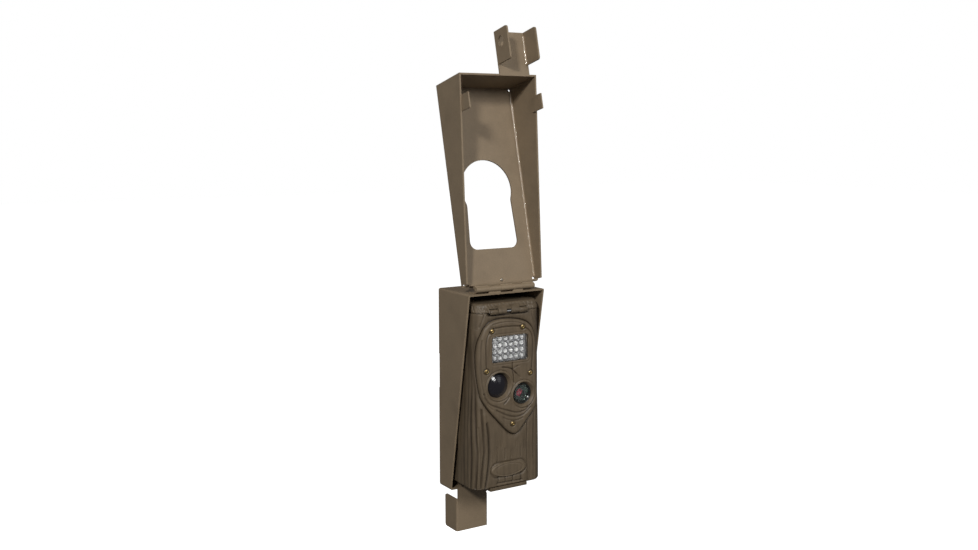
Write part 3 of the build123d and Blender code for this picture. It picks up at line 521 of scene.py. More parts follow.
def closed_spline(points, steps=16):
    """Closed cubic spline with chord-length spacing, as the CAD outline."""
    points = np.array(points, float)
    step = np.roll(points, -1, 0) - points
    after = np.linalg.norm(step, axis=1)[:, None]
    before = np.roll(after, 1, 0)
    slope = step / after
    unit = np.eye(len(points))
    system = 2 * (before + after) * unit
    system += before * np.roll(unit, -1, 1) + after * np.roll(unit, 1, 1)
    second = np.linalg.solve(system, 6 * (slope - np.roll(slope, 1, 0)))
    t = np.linspace(0, 1, steps, endpoint=False)
    curve = 0
    for share, shift in ((1 - t, 0), (t, -1)):
        share = share[:, None]
        bow = (share**3 - share) * (after**2 / 6 * np.roll(second, shift, 0))[:, None]
        curve = curve + share * np.roll(points, shift, 0)[:, None] + bow
    return curve.reshape(-1, 2)


OUTLINE = closed_spline(BEZEL_POINTS)
OUTLINE_POLAR = OUTLINE - np.array(BEZEL_MIDDLE)
OUTLINE_TURN = np.arctan2(OUTLINE_POLAR[:, 1], OUTLINE_POLAR[:, 0])
OUTLINE_ORDER = np.argsort(OUTLINE_TURN)
OUTLINE_RADIUS = np.hypot(OUTLINE_POLAR[:, 0], OUTLINE_POLAR[:, 1])


def outline_radius(turn):
    return np.interp(turn, OUTLINE_TURN[OUTLINE_ORDER], OUTLINE_RADIUS[OUTLINE_ORDER],
                     period=2 * math.pi)


def outline_distance(px, ph):
    """Signed distance to the bezel outline, negative inside."""
    flat_x, flat_h = np.ravel(px), np.ravel(ph)
    best = np.empty(len(flat_x))
    for start in range(0, len(flat_x), 4000):
        part = slice(start, start + 4000)
        best[part] = np.hypot(flat_x[part, None] - OUTLINE[None, :, 0],
                              flat_h[part, None] - OUTLINE[None, :, 1]).min(1)
    dx, dh = flat_x - BEZEL_MIDDLE[0], flat_h - BEZEL_MIDDLE[1]
    inside = np.hypot(dx, dh) < outline_radius(np.arctan2(dh, dx))
    return np.where(inside, -best, best).reshape(np.shape(px))


FLASH = (0.0, 172.1)
FLASH_SIZE = (49.0, 30.0)
LED_CENTRE = (-0.5, 172.6)
LED_PITCH = 7.35
LED_R = 2.6
LED_BASE = -65.4
LED_TOP = -71.4
PIR = (-15.0, 130.0)
PIR_R = 14.0
LENS = (17.7, 117.0)
LENS_R = 12.0
SCREWS = [(-24.7, 194.1), (16.4, 195.4), (-32.0, 148.6), (27.3, 140.8), (3.2, 84.0)]
SCREW_HEAD_R = 2.75
SCREW_RISE = 1.15
SCREW_TURN = 0.4
BADGE = (-1.0, 31.0)
BADGE_HALF = (24.0, 8.7)
DOOR_AXIS = (-76.0, 215.6)
DOOR_KNUCKLES = [(-28.0, -17.3), (11.6, 22.0)]


def rect_distance(px, ph, centre, width, height, corner):
    """Signed distance to a rounded rectangle."""
    qx = np.abs(px - centre[0]) - width / 2 + corner
    qh = np.abs(ph - centre[1]) - height / 2 + corner
    return (np.hypot(np.maximum(qx, 0), np.maximum(qh, 0))
            + np.minimum(np.maximum(qx, qh), 0) - corner)


# ------ front shell
# radius kept free round the hinge pin, and a limit in y that never applies
KNUCKLE_CLEAR = 3.7
NO_LIMIT = -99
DOOR_BOTTOM = 11.0
DOOR_TOP = 214.4
DOOR_REAR = -36.0
DOOR_FRONT = -75.0
DOOR_CORNER = 14.0
DOOR_WALL = 2.5
LATCH_NOTCH = (-28.0, 22.8, 12.4)
SHELL_GROOVES = [
    # the long ridge left of the middle panel lies between these two
    ([(-30.4, 88), (-27.9, 74), (-27.3, 60), (-27.3, 46), (-29.4, 29), (-32.4, 11)], 1.5, 1.9),
    ([(-37.4, 104), (-36.2, 91), (-34.6, 70), (-33.8, 55), (-36.2, 37), (-38.6, 11)], 1.4, 1.7),
    # folds round the left corner
    ([(-45.6, 190), (-46.4, 150), (-45.0, 110), (-43.6, 70), (-42.2, 50), (-44.6, 11)], 1.7, 1.6),
    ([(-51.6, 170), (-50.4, 130), (-52.2, 90), (-50.6, 50), (-52.4, 11)], 1.8, 1.4),
    ([(-40.9, 84), (-39.0, 60), (-38.4, 45), (-41.0, 11)], 0.9, 0.8),
    ([(-58, 214), (-57, 120), (-59, 60), (-57, 11)], 1.3, 1.0),
    ([(-66, 214), (-64.5, 130), (-66.5, 50), (-65, 11)], 1.4, 0.9),
    # right side
    ([(24.3, 90), (24.0, 62), (24.8, 38), (25.6, 11)], 0.75, 1.1),
    ([(34.2, 92), (33.0, 62), (33.9, 34), (34.2, 11)], 1.0, 0.8),
    ([(43.5, 170), (42, 140), (43.6, 90), (42.4, 40), (43.5, 11)], 1.1, 1.0),
    ([(51, 160), (52.4, 120), (50.6, 60), (51.5, 11)], 1.2, 0.9),
    ([(61, 214), (60, 120), (62, 50), (61, 11)], 1.4, 0.8),
    # short splits in the middle panel
    ([(-16.6, 58), (-16.2, 49), (-16.6, 40.7)], 0.6, 0.8),
    ([(-5.9, 55.5), (-5.6, 49), (-5.9, 43.4)], 0.6, 0.85),
    ([(2.4, 52), (2.2, 44)], 0.5, 0.5),
    ([(15.4, 55), (15.5, 42.9)], 0.6, 0.7),
    ([(-11.6, 66), (-11.3, 57)], 0.5, 0.45),
    ([(19.6, 62), (19.9, 52)], 0.5, 0.5),
    ([(9.2, 62), (9.0, 55)], 0.5, 0.4),
    # four stalks and the line under the badge
    ([(-14.9, 24), (-14.9, 16.2)], 0.7, 1.3),
    ([(-5.4, 22.4), (-5.4, 15.6)], 0.75, 1.3),
    ([(4.6, 22.4), (4.6, 15.4)], 0.7, 1.3),
    ([(16.0, 24), (16.1, 15)], 0.7, 1.3),
    ([(-16.6, 15.9), (17.4, 14.9)], 0.7, 1.4),
    # above the bezel, left and right
    ([(-33.5, 214), (-36, 207), (-39.5, 199)], 0.8, 0.8),
    ([(-29.6, 213.6), (-28.6, 211.9), (-12, 211.5), (6, 211.4), (22.4, 211.7), (23.6, 213.6)],
     0.75, 1.7),
    ([(29.5, 213), (31, 206), (34.6, 198)], 0.8, 0.7),
]


# columns of the shell's grid on half its front, on a corner and on a side
FRONT_COLUMNS, CORNER_COLUMNS, SIDE_COLUMNS = 65, 42, 30


def half_width(h):
    """Half width of the tapering shell."""
    low, high = 46.7, 43.5
    return low + (high - low) * (h - DOOR_BOTTOM) / (DOOR_TOP - DOOR_BOTTOM)


def section(s, flat, y_front, corner):
    """(x, y, normal x, normal y) at arc length s from the middle of a U-shaped outline."""
    away, sign = np.abs(s), np.sign(s)
    turn = np.clip((away - flat) / corner, 0, math.pi / 2)
    back = np.maximum(away - flat - corner * math.pi / 2, 0)
    nx, ny = sign * np.sin(turn), -np.cos(turn)
    x = np.where(away <= flat, s, sign * flat + corner * nx)
    return x, y_front + corner * (1 + ny) + back, nx, ny


def shell_places(flat):
    """Arc lengths of the shell's columns, in rows for a column of flat half widths."""
    arc = DOOR_CORNER * math.pi / 2
    reach = DOOR_REAR - DOOR_FRONT - DOOR_CORNER
    front = flat * np.linspace(0, 1, FRONT_COLUMNS + 1)
    corner = flat + arc * np.arange(1, CORNER_COLUMNS + 1) / CORNER_COLUMNS
    side = flat + arc + reach * np.arange(1, SIDE_COLUMNS + 1) / SIDE_COLUMNS
    right = np.concatenate([front, corner, side], 1)
    return np.concatenate([-right[:, :0:-1], right], 1)


def shell_relief(x, y, h, s):
    """Height of the bark above the smooth shell, and how much painted shade darkens each place."""
    relief = grooves(s, h, SHELL_GROOVES)
    relief += 0.16 * grain(s, h, 11)
    fold = 0.35 * np.sin(s / 3.3 + 1.1 * np.sin(h / 47)) * smoothstep(-34, -44, s)
    fold += 0.3 * np.sin(s / 3.7 + 0.9 * np.sin(h / 39)) * smoothstep(36, 46, s)
    relief += fold
    relief *= 1 - 0.8 * smoothstep(100, 150, h) * (np.abs(s) > 38) * (h < 196)
    ridge = path_distance(s, h, bend([(-34.2, 98), (-32.2, 84), (-31.1, 66), (-30.5, 50),
                                      (-32.8, 30), (-35.4, 11)]))
    relief += 0.75 * bell(ridge, 2.3)
    gap = np.where(np.abs(s) < 60, outline_distance(x, h), 60)
    relief *= smoothstep(1.4, 3.4, gap)
    relief -= 0.7 * bell(np.maximum(gap - 1.2, 0), 2.6)
    badge = rect_distance(x, h, BADGE, 2 * BADGE_HALF[0], 2 * BADGE_HALF[1], BADGE_HALF[1] - 0.1)
    relief -= 0.9 * bell(badge, 1.1) * (np.abs(s) < 40)
    relief = np.where(np.abs(s) > 44, np.minimum(relief, 0.3), relief)
    seat = smoothstep(1.5, 1.0, gap)
    trough = 1.55 + 0.9 * smoothstep(-1.2, 0.2, gap)
    relief = relief * (1 - seat) - trough * seat
    # round the top and bottom edges and the rear rim
    low = np.clip(DOOR_BOTTOM + 2 - h, 0, 2)
    high = np.clip(h - DOOR_TOP + 2, 0, 2)
    inset = 2 - np.sqrt(4 - np.maximum(low, high) ** 2)
    # painted shade: darker where the relief sinks, in the grooves and the trough round the bezel
    painted_shade = np.clip((-relief - 0.25) / 1.3, 0, 1)
    relief = relief * smoothstep(0, 2, np.minimum(h - DOOR_BOTTOM, DOOR_TOP - h)) - inset
    rear = smoothstep(0, 1.2, DOOR_REAR - y)
    return relief * rear - 0.3 * (1 - rear), painted_shade


def make_front_shell():
    rim = np.array([0, 0.15, 0.45, 0.9, 1.4])
    heights = np.concatenate([DOOR_BOTTOM + rim, np.linspace(13, 212, 330),
                              DOOR_TOP - rim[::-1]])
    flat = half_width(heights)[:, None] - DOOR_CORNER
    s = shell_places(flat)
    rows, cols = s.shape
    count = rows * cols
    h = np.repeat(heights[:, None], cols, 1)
    x, y, nx, ny = section(s, flat, DOOR_FRONT, DOOR_CORNER)
    relief, painted_shade = shell_relief(x, y, h, s)
    px, py = x + nx * relief, y + ny * relief
    # clear the cap's hinge knuckles
    band = smoothstep(24.4, 23.6, px) * smoothstep(-30.4, -29.6, px) * (h > 206)
    above = h - DOOR_AXIS[1]
    rise = np.clip(KNUCKLE_CLEAR**2 - above**2, 0, None)
    limit = np.where(np.abs(above) < KNUCKLE_CLEAR, DOOR_AXIS[0] + np.sqrt(rise), NO_LIMIT)
    py = np.where((band > 0) & (py < limit), py * (1 - band) + limit * band, py)
    ph = h.copy()
    notch = (px > LATCH_NOTCH[0]) & (px < LATCH_NOTCH[1]) & (py < -66) & (ph < LATCH_NOTCH[2])
    ph = np.where(notch, LATCH_NOTCH[2], ph)
    outer = np.stack([px, py, ph], -1)
    # inner face
    wall = np.minimum(-DOOR_WALL, relief - 0.9)
    ix, iy = x + nx * wall, y + ny * wall
    iy = np.where(np.abs(s) < 45, np.maximum(iy, py + 0.9), iy)
    iy = np.where(np.abs(s) > 55, y, iy)
    span_h = (h - DOOR_BOTTOM) / (DOOR_TOP - DOOR_BOTTOM)
    ih = DOOR_BOTTOM + DOOR_WALL + span_h * (DOOR_TOP - DOOR_BOTTOM - 2 * DOOR_WALL)
    inner = np.stack([ix, iy, ih], -1)
    # openings, hidden under the bezel
    mid_x = (px[:-1, :-1] + px[1:, 1:]) / 2
    mid_h = (h[:-1, :-1] + h[1:, 1:]) / 2
    front = py[:-1, :-1] < -70
    hole = rect_distance(mid_x, mid_h, FLASH, FLASH_SIZE[0] + 4, FLASH_SIZE[1] + 4, 3) < 0
    hole |= np.hypot(mid_x - PIR[0], mid_h - PIR[1]) < PIR_R + 1
    hole |= np.hypot(mid_x - LENS[0], mid_h - LENS[1]) < LENS_R + 1
    hole &= front
    points = np.concatenate([outer.reshape(-1, 3), inner.reshape(-1, 3)])
    faces = []

    def wall(here, there):
        """Joins the outer and the inner sheet between two (row, column) places."""
        a, b = here[0] * cols + here[1], there[0] * cols + there[1]
        faces.append((a, b, count + b, count + a))

    for r in range(rows - 1):
        for c in range(cols - 1):
            if hole[r, c]:
                continue
            i = r * cols + c
            j = count + i
            faces.append((i, i + 1, i + cols + 1, i + cols))
            faces.append((j, j + cols, j + cols + 1, j + 1))
        wall((r, 0), (r + 1, 0))
        wall((r, cols - 1), (r + 1, cols - 1))
    for r, c in np.argwhere(hole[:-1] != hole[1:]).tolist():
        wall((r + 1, c), (r + 1, c + 1))
    for r, c in np.argwhere(hole[:, :-1] != hole[:, 1:]).tolist():
        wall((r, c + 1), (r + 1, c + 1))
    for r in (0, rows - 1):
        row = range(r * cols, (r + 1) * cols)
        faces += [tuple(row), tuple(count + i for i in row)]
        wall((r, 0), (r, cols - 1))
    parts = Parts()
    parts.add(points, faces)
    web = [(-78.8, 214.6), (-78.3, 213.3), (-77.0, 212.5), (-73, 212.4), (-73, 214.0), DOOR_AXIS]
    for x0, x1 in DOOR_KNUCKLES:
        parts.add(*prism_x(web, x0, x1))
        parts.add(*knuckle(x0, x1, *DOOR_AXIS, 3.0))
    for x0, x1 in ((-30.6, -28.0), (22.8, 25.4)):
        ear = [(-71.2, 8.6), (-70.6, 8.0), (-67.4, 8.0), (-66.8, 8.6), (-66.5, 12), (-71.5, 12)]
        parts.add(*prism_x(ear, x0, x1))
    piece = make_piece("front_shell_bark", parts.points, parts.faces, PLASTIC, "door",
                       "camera_plastic", "front_shell")
    store_painted_shade(piece, painted_shade.ravel())


make_front_shell()

# ------ face bezel
BEZEL_FACE = -77.0
BEZEL_BACK = -73.6
BEZEL_GROOVES = [
    # line through the screws, round the flash window
    ([(-22.2, 196.6), (-19.9, 197.0), (-7.7, 197.6), (3.6, 197.2), (14.6, 196.2)], 0.7, 1.3),
    ([(-27.3, 193.2), (-30.6, 187.6), (-32.4, 178.3), (-32.4, 166), (-31.8, 151.5)], 0.75, 1.2),
    ([(18.6, 195.2), (25.4, 190.6), (29.6, 183), (30.6, 166), (28.6, 143.6)], 0.75, 1.2),
    # star-shaped split under the window
    ([(2.4, 155.4), (2.8, 147.6), (4.0, 140), (4.6, 132)], 0.65, 1.5),
    ([(-10.8, 151.4), (-3.8, 150.3), (2.8, 147.8)], 0.65, 1.3),
    ([(3.0, 147), (8.6, 141.6)], 0.7, 1.5),
    ([(3.0, 147.6), (7.6, 150.2), (11.5, 150.9)], 0.6, 0.9),
    ([(9.6, 140.4), (13.4, 137.6)], 0.55, 0.6),
    # split between the two eyes
    ([(-8.6, 108.6), (-4.6, 111.4), (-1.2, 116)], 0.7, 1.4),
    # ripples below
    ([(-34.6, 123), (-33.2, 118.1), (-27.3, 110.6), (-16.3, 105.2), (-2.6, 99.9), (10.4, 96.2),
      (21.8, 98.4), (29.0, 106.0), (32.6, 113)], 0.85, 1.15),
    ([(-18.8, 102.4), (-7.7, 96.3), (1.8, 92.6), (11.3, 91.4), (20, 94.0), (27.9, 100.0)],
     0.85, 1.1),
    ([(-10, 92.4), (0, 88.6), (9, 87.4), (17, 89.2)], 0.8, 0.6),
    ([(-24, 104.0), (-30, 109.4), (-35.4, 117.4)], 0.8, 0.5),
    # sides
    ([(-37.2, 184), (-38.4, 170), (-38.4, 150), (-37, 134), (-34.6, 122)], 0.9, 0.8),
    ([(33, 178), (33.6, 160), (34.4, 140)], 0.8, 0.7),
    ([(-24, 201.4), (-10, 203.0), (4, 202.4), (15, 199.8)], 0.8, 0.55),
]


# flared eyes: outer radius at the face and inner radius at the depth of the optics
EYE_PIR = (16.6, 14.05, -72.1)
EYE_LENS = (15.0, 12.0, -72.9)
# rear and front y of the cuts through the bezel
CUT_SPAN = (-66, -84)


def corner_fall(px, ph):
    """How far the shell has curved back at a place on its front corners."""
    over = np.clip(np.abs(px) - (half_width(ph) - DOOR_CORNER), 0, DOOR_CORNER - 0.5)
    return DOOR_CORNER - np.sqrt(DOOR_CORNER**2 - over**2)


def bezel_height(px, ph, edge):
    """Height of the bezel above its face level in mm, and the painted shade of its grooves, from 0
    to 1.
    """
    inside = np.clip(edge, 0, 3.4) / 3.4
    height = -2.3 * (1 - np.sqrt(1 - (1 - inside) ** 2))
    pir = np.hypot(px - PIR[0], ph - PIR[1])
    lens = np.hypot(px - LENS[0], ph - LENS[1])
    window = rect_distance(px, ph, FLASH, *FLASH_SIZE, 3.0)
    relief = grooves(px, ph, BEZEL_GROOVES)
    relief *= smoothstep(2.2, 3.4, pir - PIR_R) * smoothstep(2.6, 4.2, lens - LENS_R)
    relief *= smoothstep(0.2, 1.0, window) * smoothstep(0.5, 2.5, edge)
    height += relief + 0.09 * grain(px, ph, 29)
    height -= 0.5 * smoothstep(0.9, 0, window)
    height -= 0.35 * bell(window - 2.6, 0.8)
    height -= 0.7 * bell(pir - EYE_PIR[0] - 1.6, 0.6) * smoothstep(1, 3, edge)
    height -= 0.7 * bell(lens - EYE_LENS[0] - 1.6, 0.6) * smoothstep(1, 3, edge)
    for sx, sh in SCREWS:
        away = np.hypot(px - sx, ph - sh)
        dish = bell(away - 3.3, 0.6)
        height -= 0.85 * dish
        # each screw's dish adds painted shade round the head
        relief -= 0.9 * dish
    return height, np.clip((-relief - 0.2) / 1.2, 0, 1)


def boolean_cut(piece, cutters):
    for cutter in cutters:
        modifier = piece.modifiers.new("cut", "BOOLEAN")
        modifier.operation = "DIFFERENCE"
        modifier.solver = "EXACT"
        modifier.object = cutter
    graph = bpy.context.evaluated_depsgraph_get()
    result = bpy.data.meshes.new_from_object(piece.evaluated_get(graph))
    piece.modifiers.clear()
    old = piece.data
    piece.data = result
    bpy.data.meshes.remove(old)
    for cutter in cutters:
        bpy.data.objects.remove(cutter, do_unlink=True)


def rounded_rect(centre, width, height, corner, steps=8):
    points = []
    for quarter, (sx, sh) in enumerate(((1, 1), (-1, 1), (-1, -1), (1, -1))):
        cx = centre[0] + sx * (width / 2 - corner)
        ch = centre[1] + sh * (height / 2 - corner)
        for t in np.linspace(0, math.pi / 2, steps):
            turn = quarter * math.pi / 2 + t
            points.append((cx + corner * math.cos(turn), ch + corner * math.sin(turn)))
    return points


def tube_y(inner, outer, y_rear, y_front):
    """Closed tube along Y between two outlines with the same number of points."""
    rings = ((inner, y_rear), (outer, y_rear), (outer, y_front), (inner, y_front))
    return [(x, y, h) for loop, y in rings for x, h in loop], loop_faces(4, len(inner))


def make_bezel():
    turns = np.linspace(-math.pi, math.pi, 640, endpoint=False)
    radius = outline_radius(turns)
    levels = np.concatenate([np.linspace(0, 0.93, 118)[1:],
                             1 - 0.07 * (1 - np.linspace(0, 1, 15)[1:])])
    rings, count = len(levels), len(turns)
    fraction = levels[:, None] * radius[None, :]
    px = BEZEL_MIDDLE[0] + fraction * np.cos(turns)[None, :]
    ph = BEZEL_MIDDLE[1] + fraction * np.sin(turns)[None, :]
    edge = -np.minimum(outline_distance(px, ph), 0)
    edge[-1] = 0
    height, painted_shade = bezel_height(px, ph, edge)
    fall = 0.9 * corner_fall(px, ph)
    front = np.stack([px, BEZEL_FACE - height + fall, ph], -1).reshape(-1, 3)
    rim = np.stack([px[-1], BEZEL_BACK + fall[-1], ph[-1]], -1)
    hub = (BEZEL_MIDDLE[0], BEZEL_FACE - height[0].mean(), BEZEL_MIDDLE[1])
    back = (BEZEL_MIDDLE[0], BEZEL_BACK, BEZEL_MIDDLE[1])
    points = np.concatenate([front, rim, [hub, back]])
    start = rings * count
    faces = stack_faces(rings + 1, count)[:-2]
    for i in range(count):
        j = (i + 1) % count
        faces += [(start + count, i, j), (start + count + 1, start + j, start + i)]
    piece = make_piece("face_bezel_relief", points, faces, BEZEL_PLASTIC, "door",
                       "bezel_plastic", "face_bezel")
    store_painted_shade(piece, painted_shade.ravel())
    cutters = [
        new_object("cut_window", *prism_y(rounded_rect(FLASH, *FLASH_SIZE, 3), *CUT_SPAN)),
        new_object("cut_pir", *prism_y(ring_points(EYE_PIR[0], 120, PIR), *CUT_SPAN)),
        new_object("cut_lens", *prism_y(ring_points(EYE_LENS[0], 120, LENS), *CUT_SPAN)),
    ]
    boolean_cut(piece, cutters)
    piece.data.shade_smooth()
    piece.data.set_sharp_from_angle(angle=math.radians(50))
    parts = Parts()
    parts.add(*tube_y(rounded_rect(FLASH, *FLASH_SIZE, 3),
                      rounded_rect(FLASH, FLASH_SIZE[0] + 2, FLASH_SIZE[1] + 2, 4), -66, -73.7))
    for centre, (outer, inner, depth) in ((PIR, EYE_PIR), (LENS, EYE_LENS)):
        face = BEZEL_FACE
        parts.add(*lathe_y([
            (outer + 0.5, face + 2.6), (outer + 0.5, face - 0.1), (outer + 0.1, face - 0.5),
            (outer - 0.35, face - 0.52), (outer - 0.8, face - 0.2), (inner + 0.9, depth - 1.6),
            (inner + 0.25, depth - 0.7), (inner, depth), (inner + 0.6, depth + 0.8),
            (inner + 1.6, depth + 0.8)], centre, 120))
    make_piece("face_bezel_sockets", parts.points, parts.faces, BEZEL_PLASTIC, "door",
               "bezel_plastic").data.set_sharp_from_angle(angle=math.radians(45))


make_bezel()

# ------ optics and trim
RING_BLACK = plain_gloss("ring_black", (0.012, 0.014, 0.013), 0.22, 0.4, 700, 0.05)


def dome_profile(radius, y_base, rise, steps, ring_depth, ring_pitch, y_back):
    """Lathe profile of a dome with fine rings."""
    ball = (radius**2 + rise**2) / (2 * rise)
    profile = [(0.001, y_back), (radius, y_back)]
    for r in np.linspace(radius, 0.001, steps):
        y = y_base - (math.sqrt(ball**2 - r**2) - (ball - rise))
        dip = ring_depth * (0.5 - 0.5 * math.cos(2 * math.pi * r / ring_pitch))
        profile.append((r, y + dip))
    return profile


def make_optics():
    make_piece("pir_dome", *lathe_y(
        dome_profile(PIR_R - 0.15, -72.2, 4.4, 90, 0.05, 1.7, -70.8), PIR, 96),
        DOME, "door", "dark_gloss", "pir_lens")
    ring = [(0.03, -70.9), (0.03, -74.2), (0.4, -74.5), (1.0, -74.3), (1.4, -73.4), (1.8, -72.5),
            (2.4, -72.35), (2.4, -72.25), (1.55, -72.25), (1.55, -70.9)]
    make_piece("lens_ring", *lathe_y([(LENS_R - cut, y) for cut, y in ring], LENS, 96),
               RING_BLACK, "door", "black_plastic")
    make_piece("lens_cone", *lathe_y(
        [(7.2, -60), (11.4, -60), (11.4, -70.7), (10.9, -70.7), (10.0, -69.6),
         (9.2, -69.4), (9.0, -68.4), (8.0, -68.2), (7.8, -66.8), (7.2, -66.6)], LENS, 80),
        DARK_GLASS, "door", "black_plastic")


def led_spots():
    for column in range(6):
        for row in range(4):
            yield (LED_CENTRE[0] + (column - 2.5) * LED_PITCH,
                   LED_CENTRE[1] + (row - 1.5) * LED_PITCH)


def make_leds():
    """Clear LEDs, the metal cups in them and the bright reflector plate round them."""
    epoxy, cups = Parts(), Parts()
    for spot in led_spots():
        dome = [(0.001, LED_BASE), (LED_R + 0.4, LED_BASE), (LED_R + 0.4, LED_BASE - 1),
                (LED_R, LED_BASE - 1), (LED_R, LED_TOP)]
        dome += [(LED_R * math.cos(t), LED_TOP - 2.2 * math.sin(t))
                 for t in np.linspace(0.1, math.pi / 2 - 0.001, 12)]
        epoxy.add(*lathe_y(dome, spot, 28))
        cups.add(*lathe_y([(0.001, -66.6), (0.55, -66.6), (1.5, -68.6), (1.8, -68.6),
                           (1.8, -66.0), (0.001, -66.0)], spot, 24))
    make_piece("flash_led_lenses", epoxy.points, epoxy.faces, EPOXY, "door", "led_epoxy",
               "flash_leds").data.set_sharp_from_angle(angle=math.radians(40))
    make_piece("flash_led_cups", cups.points, cups.faces, SILVER, "door", "bright_steel")
    wide, tall = FLASH_SIZE[0] - 0.4, FLASH_SIZE[1] - 0.4
    cols, rows = 150, 92
    xs = np.linspace(FLASH[0] - wide / 2, FLASH[0] + wide / 2, cols)
    hs = np.linspace(FLASH[1] - tall / 2, FLASH[1] + tall / 2, rows)
    gx, gh = np.meshgrid(xs, hs)
    near = np.full(gx.shape, 99.0)
    for x, h in led_spots():
        near = np.minimum(near, np.hypot(gx - x, gh - h))
    level = -68.4 - 3.3 * smoothstep(LED_R - 0.2, LED_R + 1.0, near)
    front = np.stack([gx, level, gh], -1).reshape(-1, 3)
    back = front.copy()
    back[:, 1] = -66.4
    make_piece("flash_reflector", np.concatenate([front, back]), sheet_faces(rows, cols), SILVER,
               "door", "bright_steel")


def relief_disc(centre, half, first, rings, count, surface, y_back):
    """Disc or oval with a flat back. surface(part, turn) gives the front's y."""
    levels = [(part, surface) for part in np.linspace(first, 1, rings)]
    levels.append((1, lambda part, turn: y_back))
    points = [(centre[0] + half[0] * part * math.cos(turn), level(part, turn),
               centre[1] + half[1] * part * math.sin(turn))
              for part, level in levels
              for turn in np.linspace(0, 2 * math.pi, count, endpoint=False)]
    return points, stack_faces(rings + 1, count)


def screw_surface(part, turn):
    """Domed head with a cross recess."""
    r = part * SCREW_HEAD_R
    along = abs(r * math.cos(turn - SCREW_TURN))
    across = abs(r * math.sin(turn - SCREW_TURN))
    dome = SCREW_RISE * math.sqrt(1 - (part / 1.06) ** 2)
    arm = max(math.exp(-((narrow / 0.34) ** 4)) * (wide < 1.5)
              for narrow, wide in ((along, across), (across, along)))
    return BEZEL_FACE - 0.05 - dome + 0.75 * arm * max(0.0, 1 - r / 1.7)


def badge_surface(part, turn):
    """Raised rim, a shallow valley and a slightly crowned field."""
    away = (1 - part) * BADGE_HALF[1]
    crown = 1.15 * math.sqrt(1 - max(0.0, 1 - away / 1.1) ** 2)
    return DOOR_FRONT - crown + 0.32 * bell(away - 2.0, 0.5)


def make_trim():
    parts = Parts()
    for centre in SCREWS:
        parts.add(*relief_disc(centre, (SCREW_HEAD_R, SCREW_HEAD_R), 0.02 / SCREW_HEAD_R, 26, 72,
                               screw_surface, BEZEL_FACE + 0.9))
        parts.add(*prism_y(ring_points(1.5, 24, centre), -66.5, BEZEL_FACE + 0.9))
    make_piece("bezel_screw_heads", parts.points, parts.faces, BRASS, "door", "brass",
               "bezel_screws")
    make_piece("oval_badge_blank",
               *relief_disc(BADGE, BADGE_HALF, 0.02, 30, 120, badge_surface, DOOR_FRONT + 0.9),
               BEZEL_PLASTIC, "door", "bezel_plastic", "oval_badge")


make_optics()
make_leds()
make_trim()


# ------ cap of the rear housing
CAP_LOW = 215.15
CAP_HIGH = 224.9
CAP_REAR = -28.0
CAP_CORNER = 12.0
CAP_ROUND = 2.5
# (left, right, clear radius) of the gaps for the door's knuckles and the bare pin
CAP_SLOTS = [(-28.35, -16.95, 3.75), (11.25, 22.35, 3.75), (-6.3, 1.0, 2.4)]
CAP_SPLITS = [
    ([(-60, 222), (-59, 216)], 0.6, 0.9), ([(-54, 224), (-53.4, 215.6)], 0.6, 1.0),
    ([(-46, 225), (-45, 216)], 0.6, 1.0), ([(-38, 215), (-37.4, 222)], 0.6, 1.1),
    ([(-34.4, 224), (-34.8, 219)], 0.5, 0.8), ([(-31.6, 225), (-31, 218)], 0.6, 1.0),
    ([(-27.4, 225), (-26.8, 220.4)], 0.5, 0.9), ([(-23.4, 225), (-22.2, 219.6)], 0.55, 1.1),
    ([(-18.2, 225), (-18.6, 220.8)], 0.5, 0.8), ([(-13, 225), (-11.8, 218.6)], 0.6, 1.3),
    ([(-7.6, 225), (-7.0, 220.8)], 0.5, 0.8), ([(-2.4, 225), (-2.8, 220.6)], 0.5, 0.9),
    ([(2.2, 225), (1.4, 220.9)], 0.5, 0.7), ([(5.4, 225), (6.4, 219)], 0.55, 1.1),
    ([(10.6, 225), (10.2, 221)], 0.5, 0.8), ([(14.6, 225), (13.8, 220.4)], 0.55, 1.0),
    ([(19.8, 225), (20.4, 220)], 0.5, 0.9), ([(25.4, 223), (26, 216)], 0.6, 1.0),
    ([(31.2, 225), (30.6, 217)], 0.6, 0.9), ([(40, 225), (40.6, 215.6)], 0.6, 1.0),
    ([(48, 224), (48.6, 216)], 0.6, 0.9), ([(-40, 219.4), (-31, 219.9)], 0.5, 0.5),
    ([(26, 220.2), (36, 219.8)], 0.5, 0.5),
]


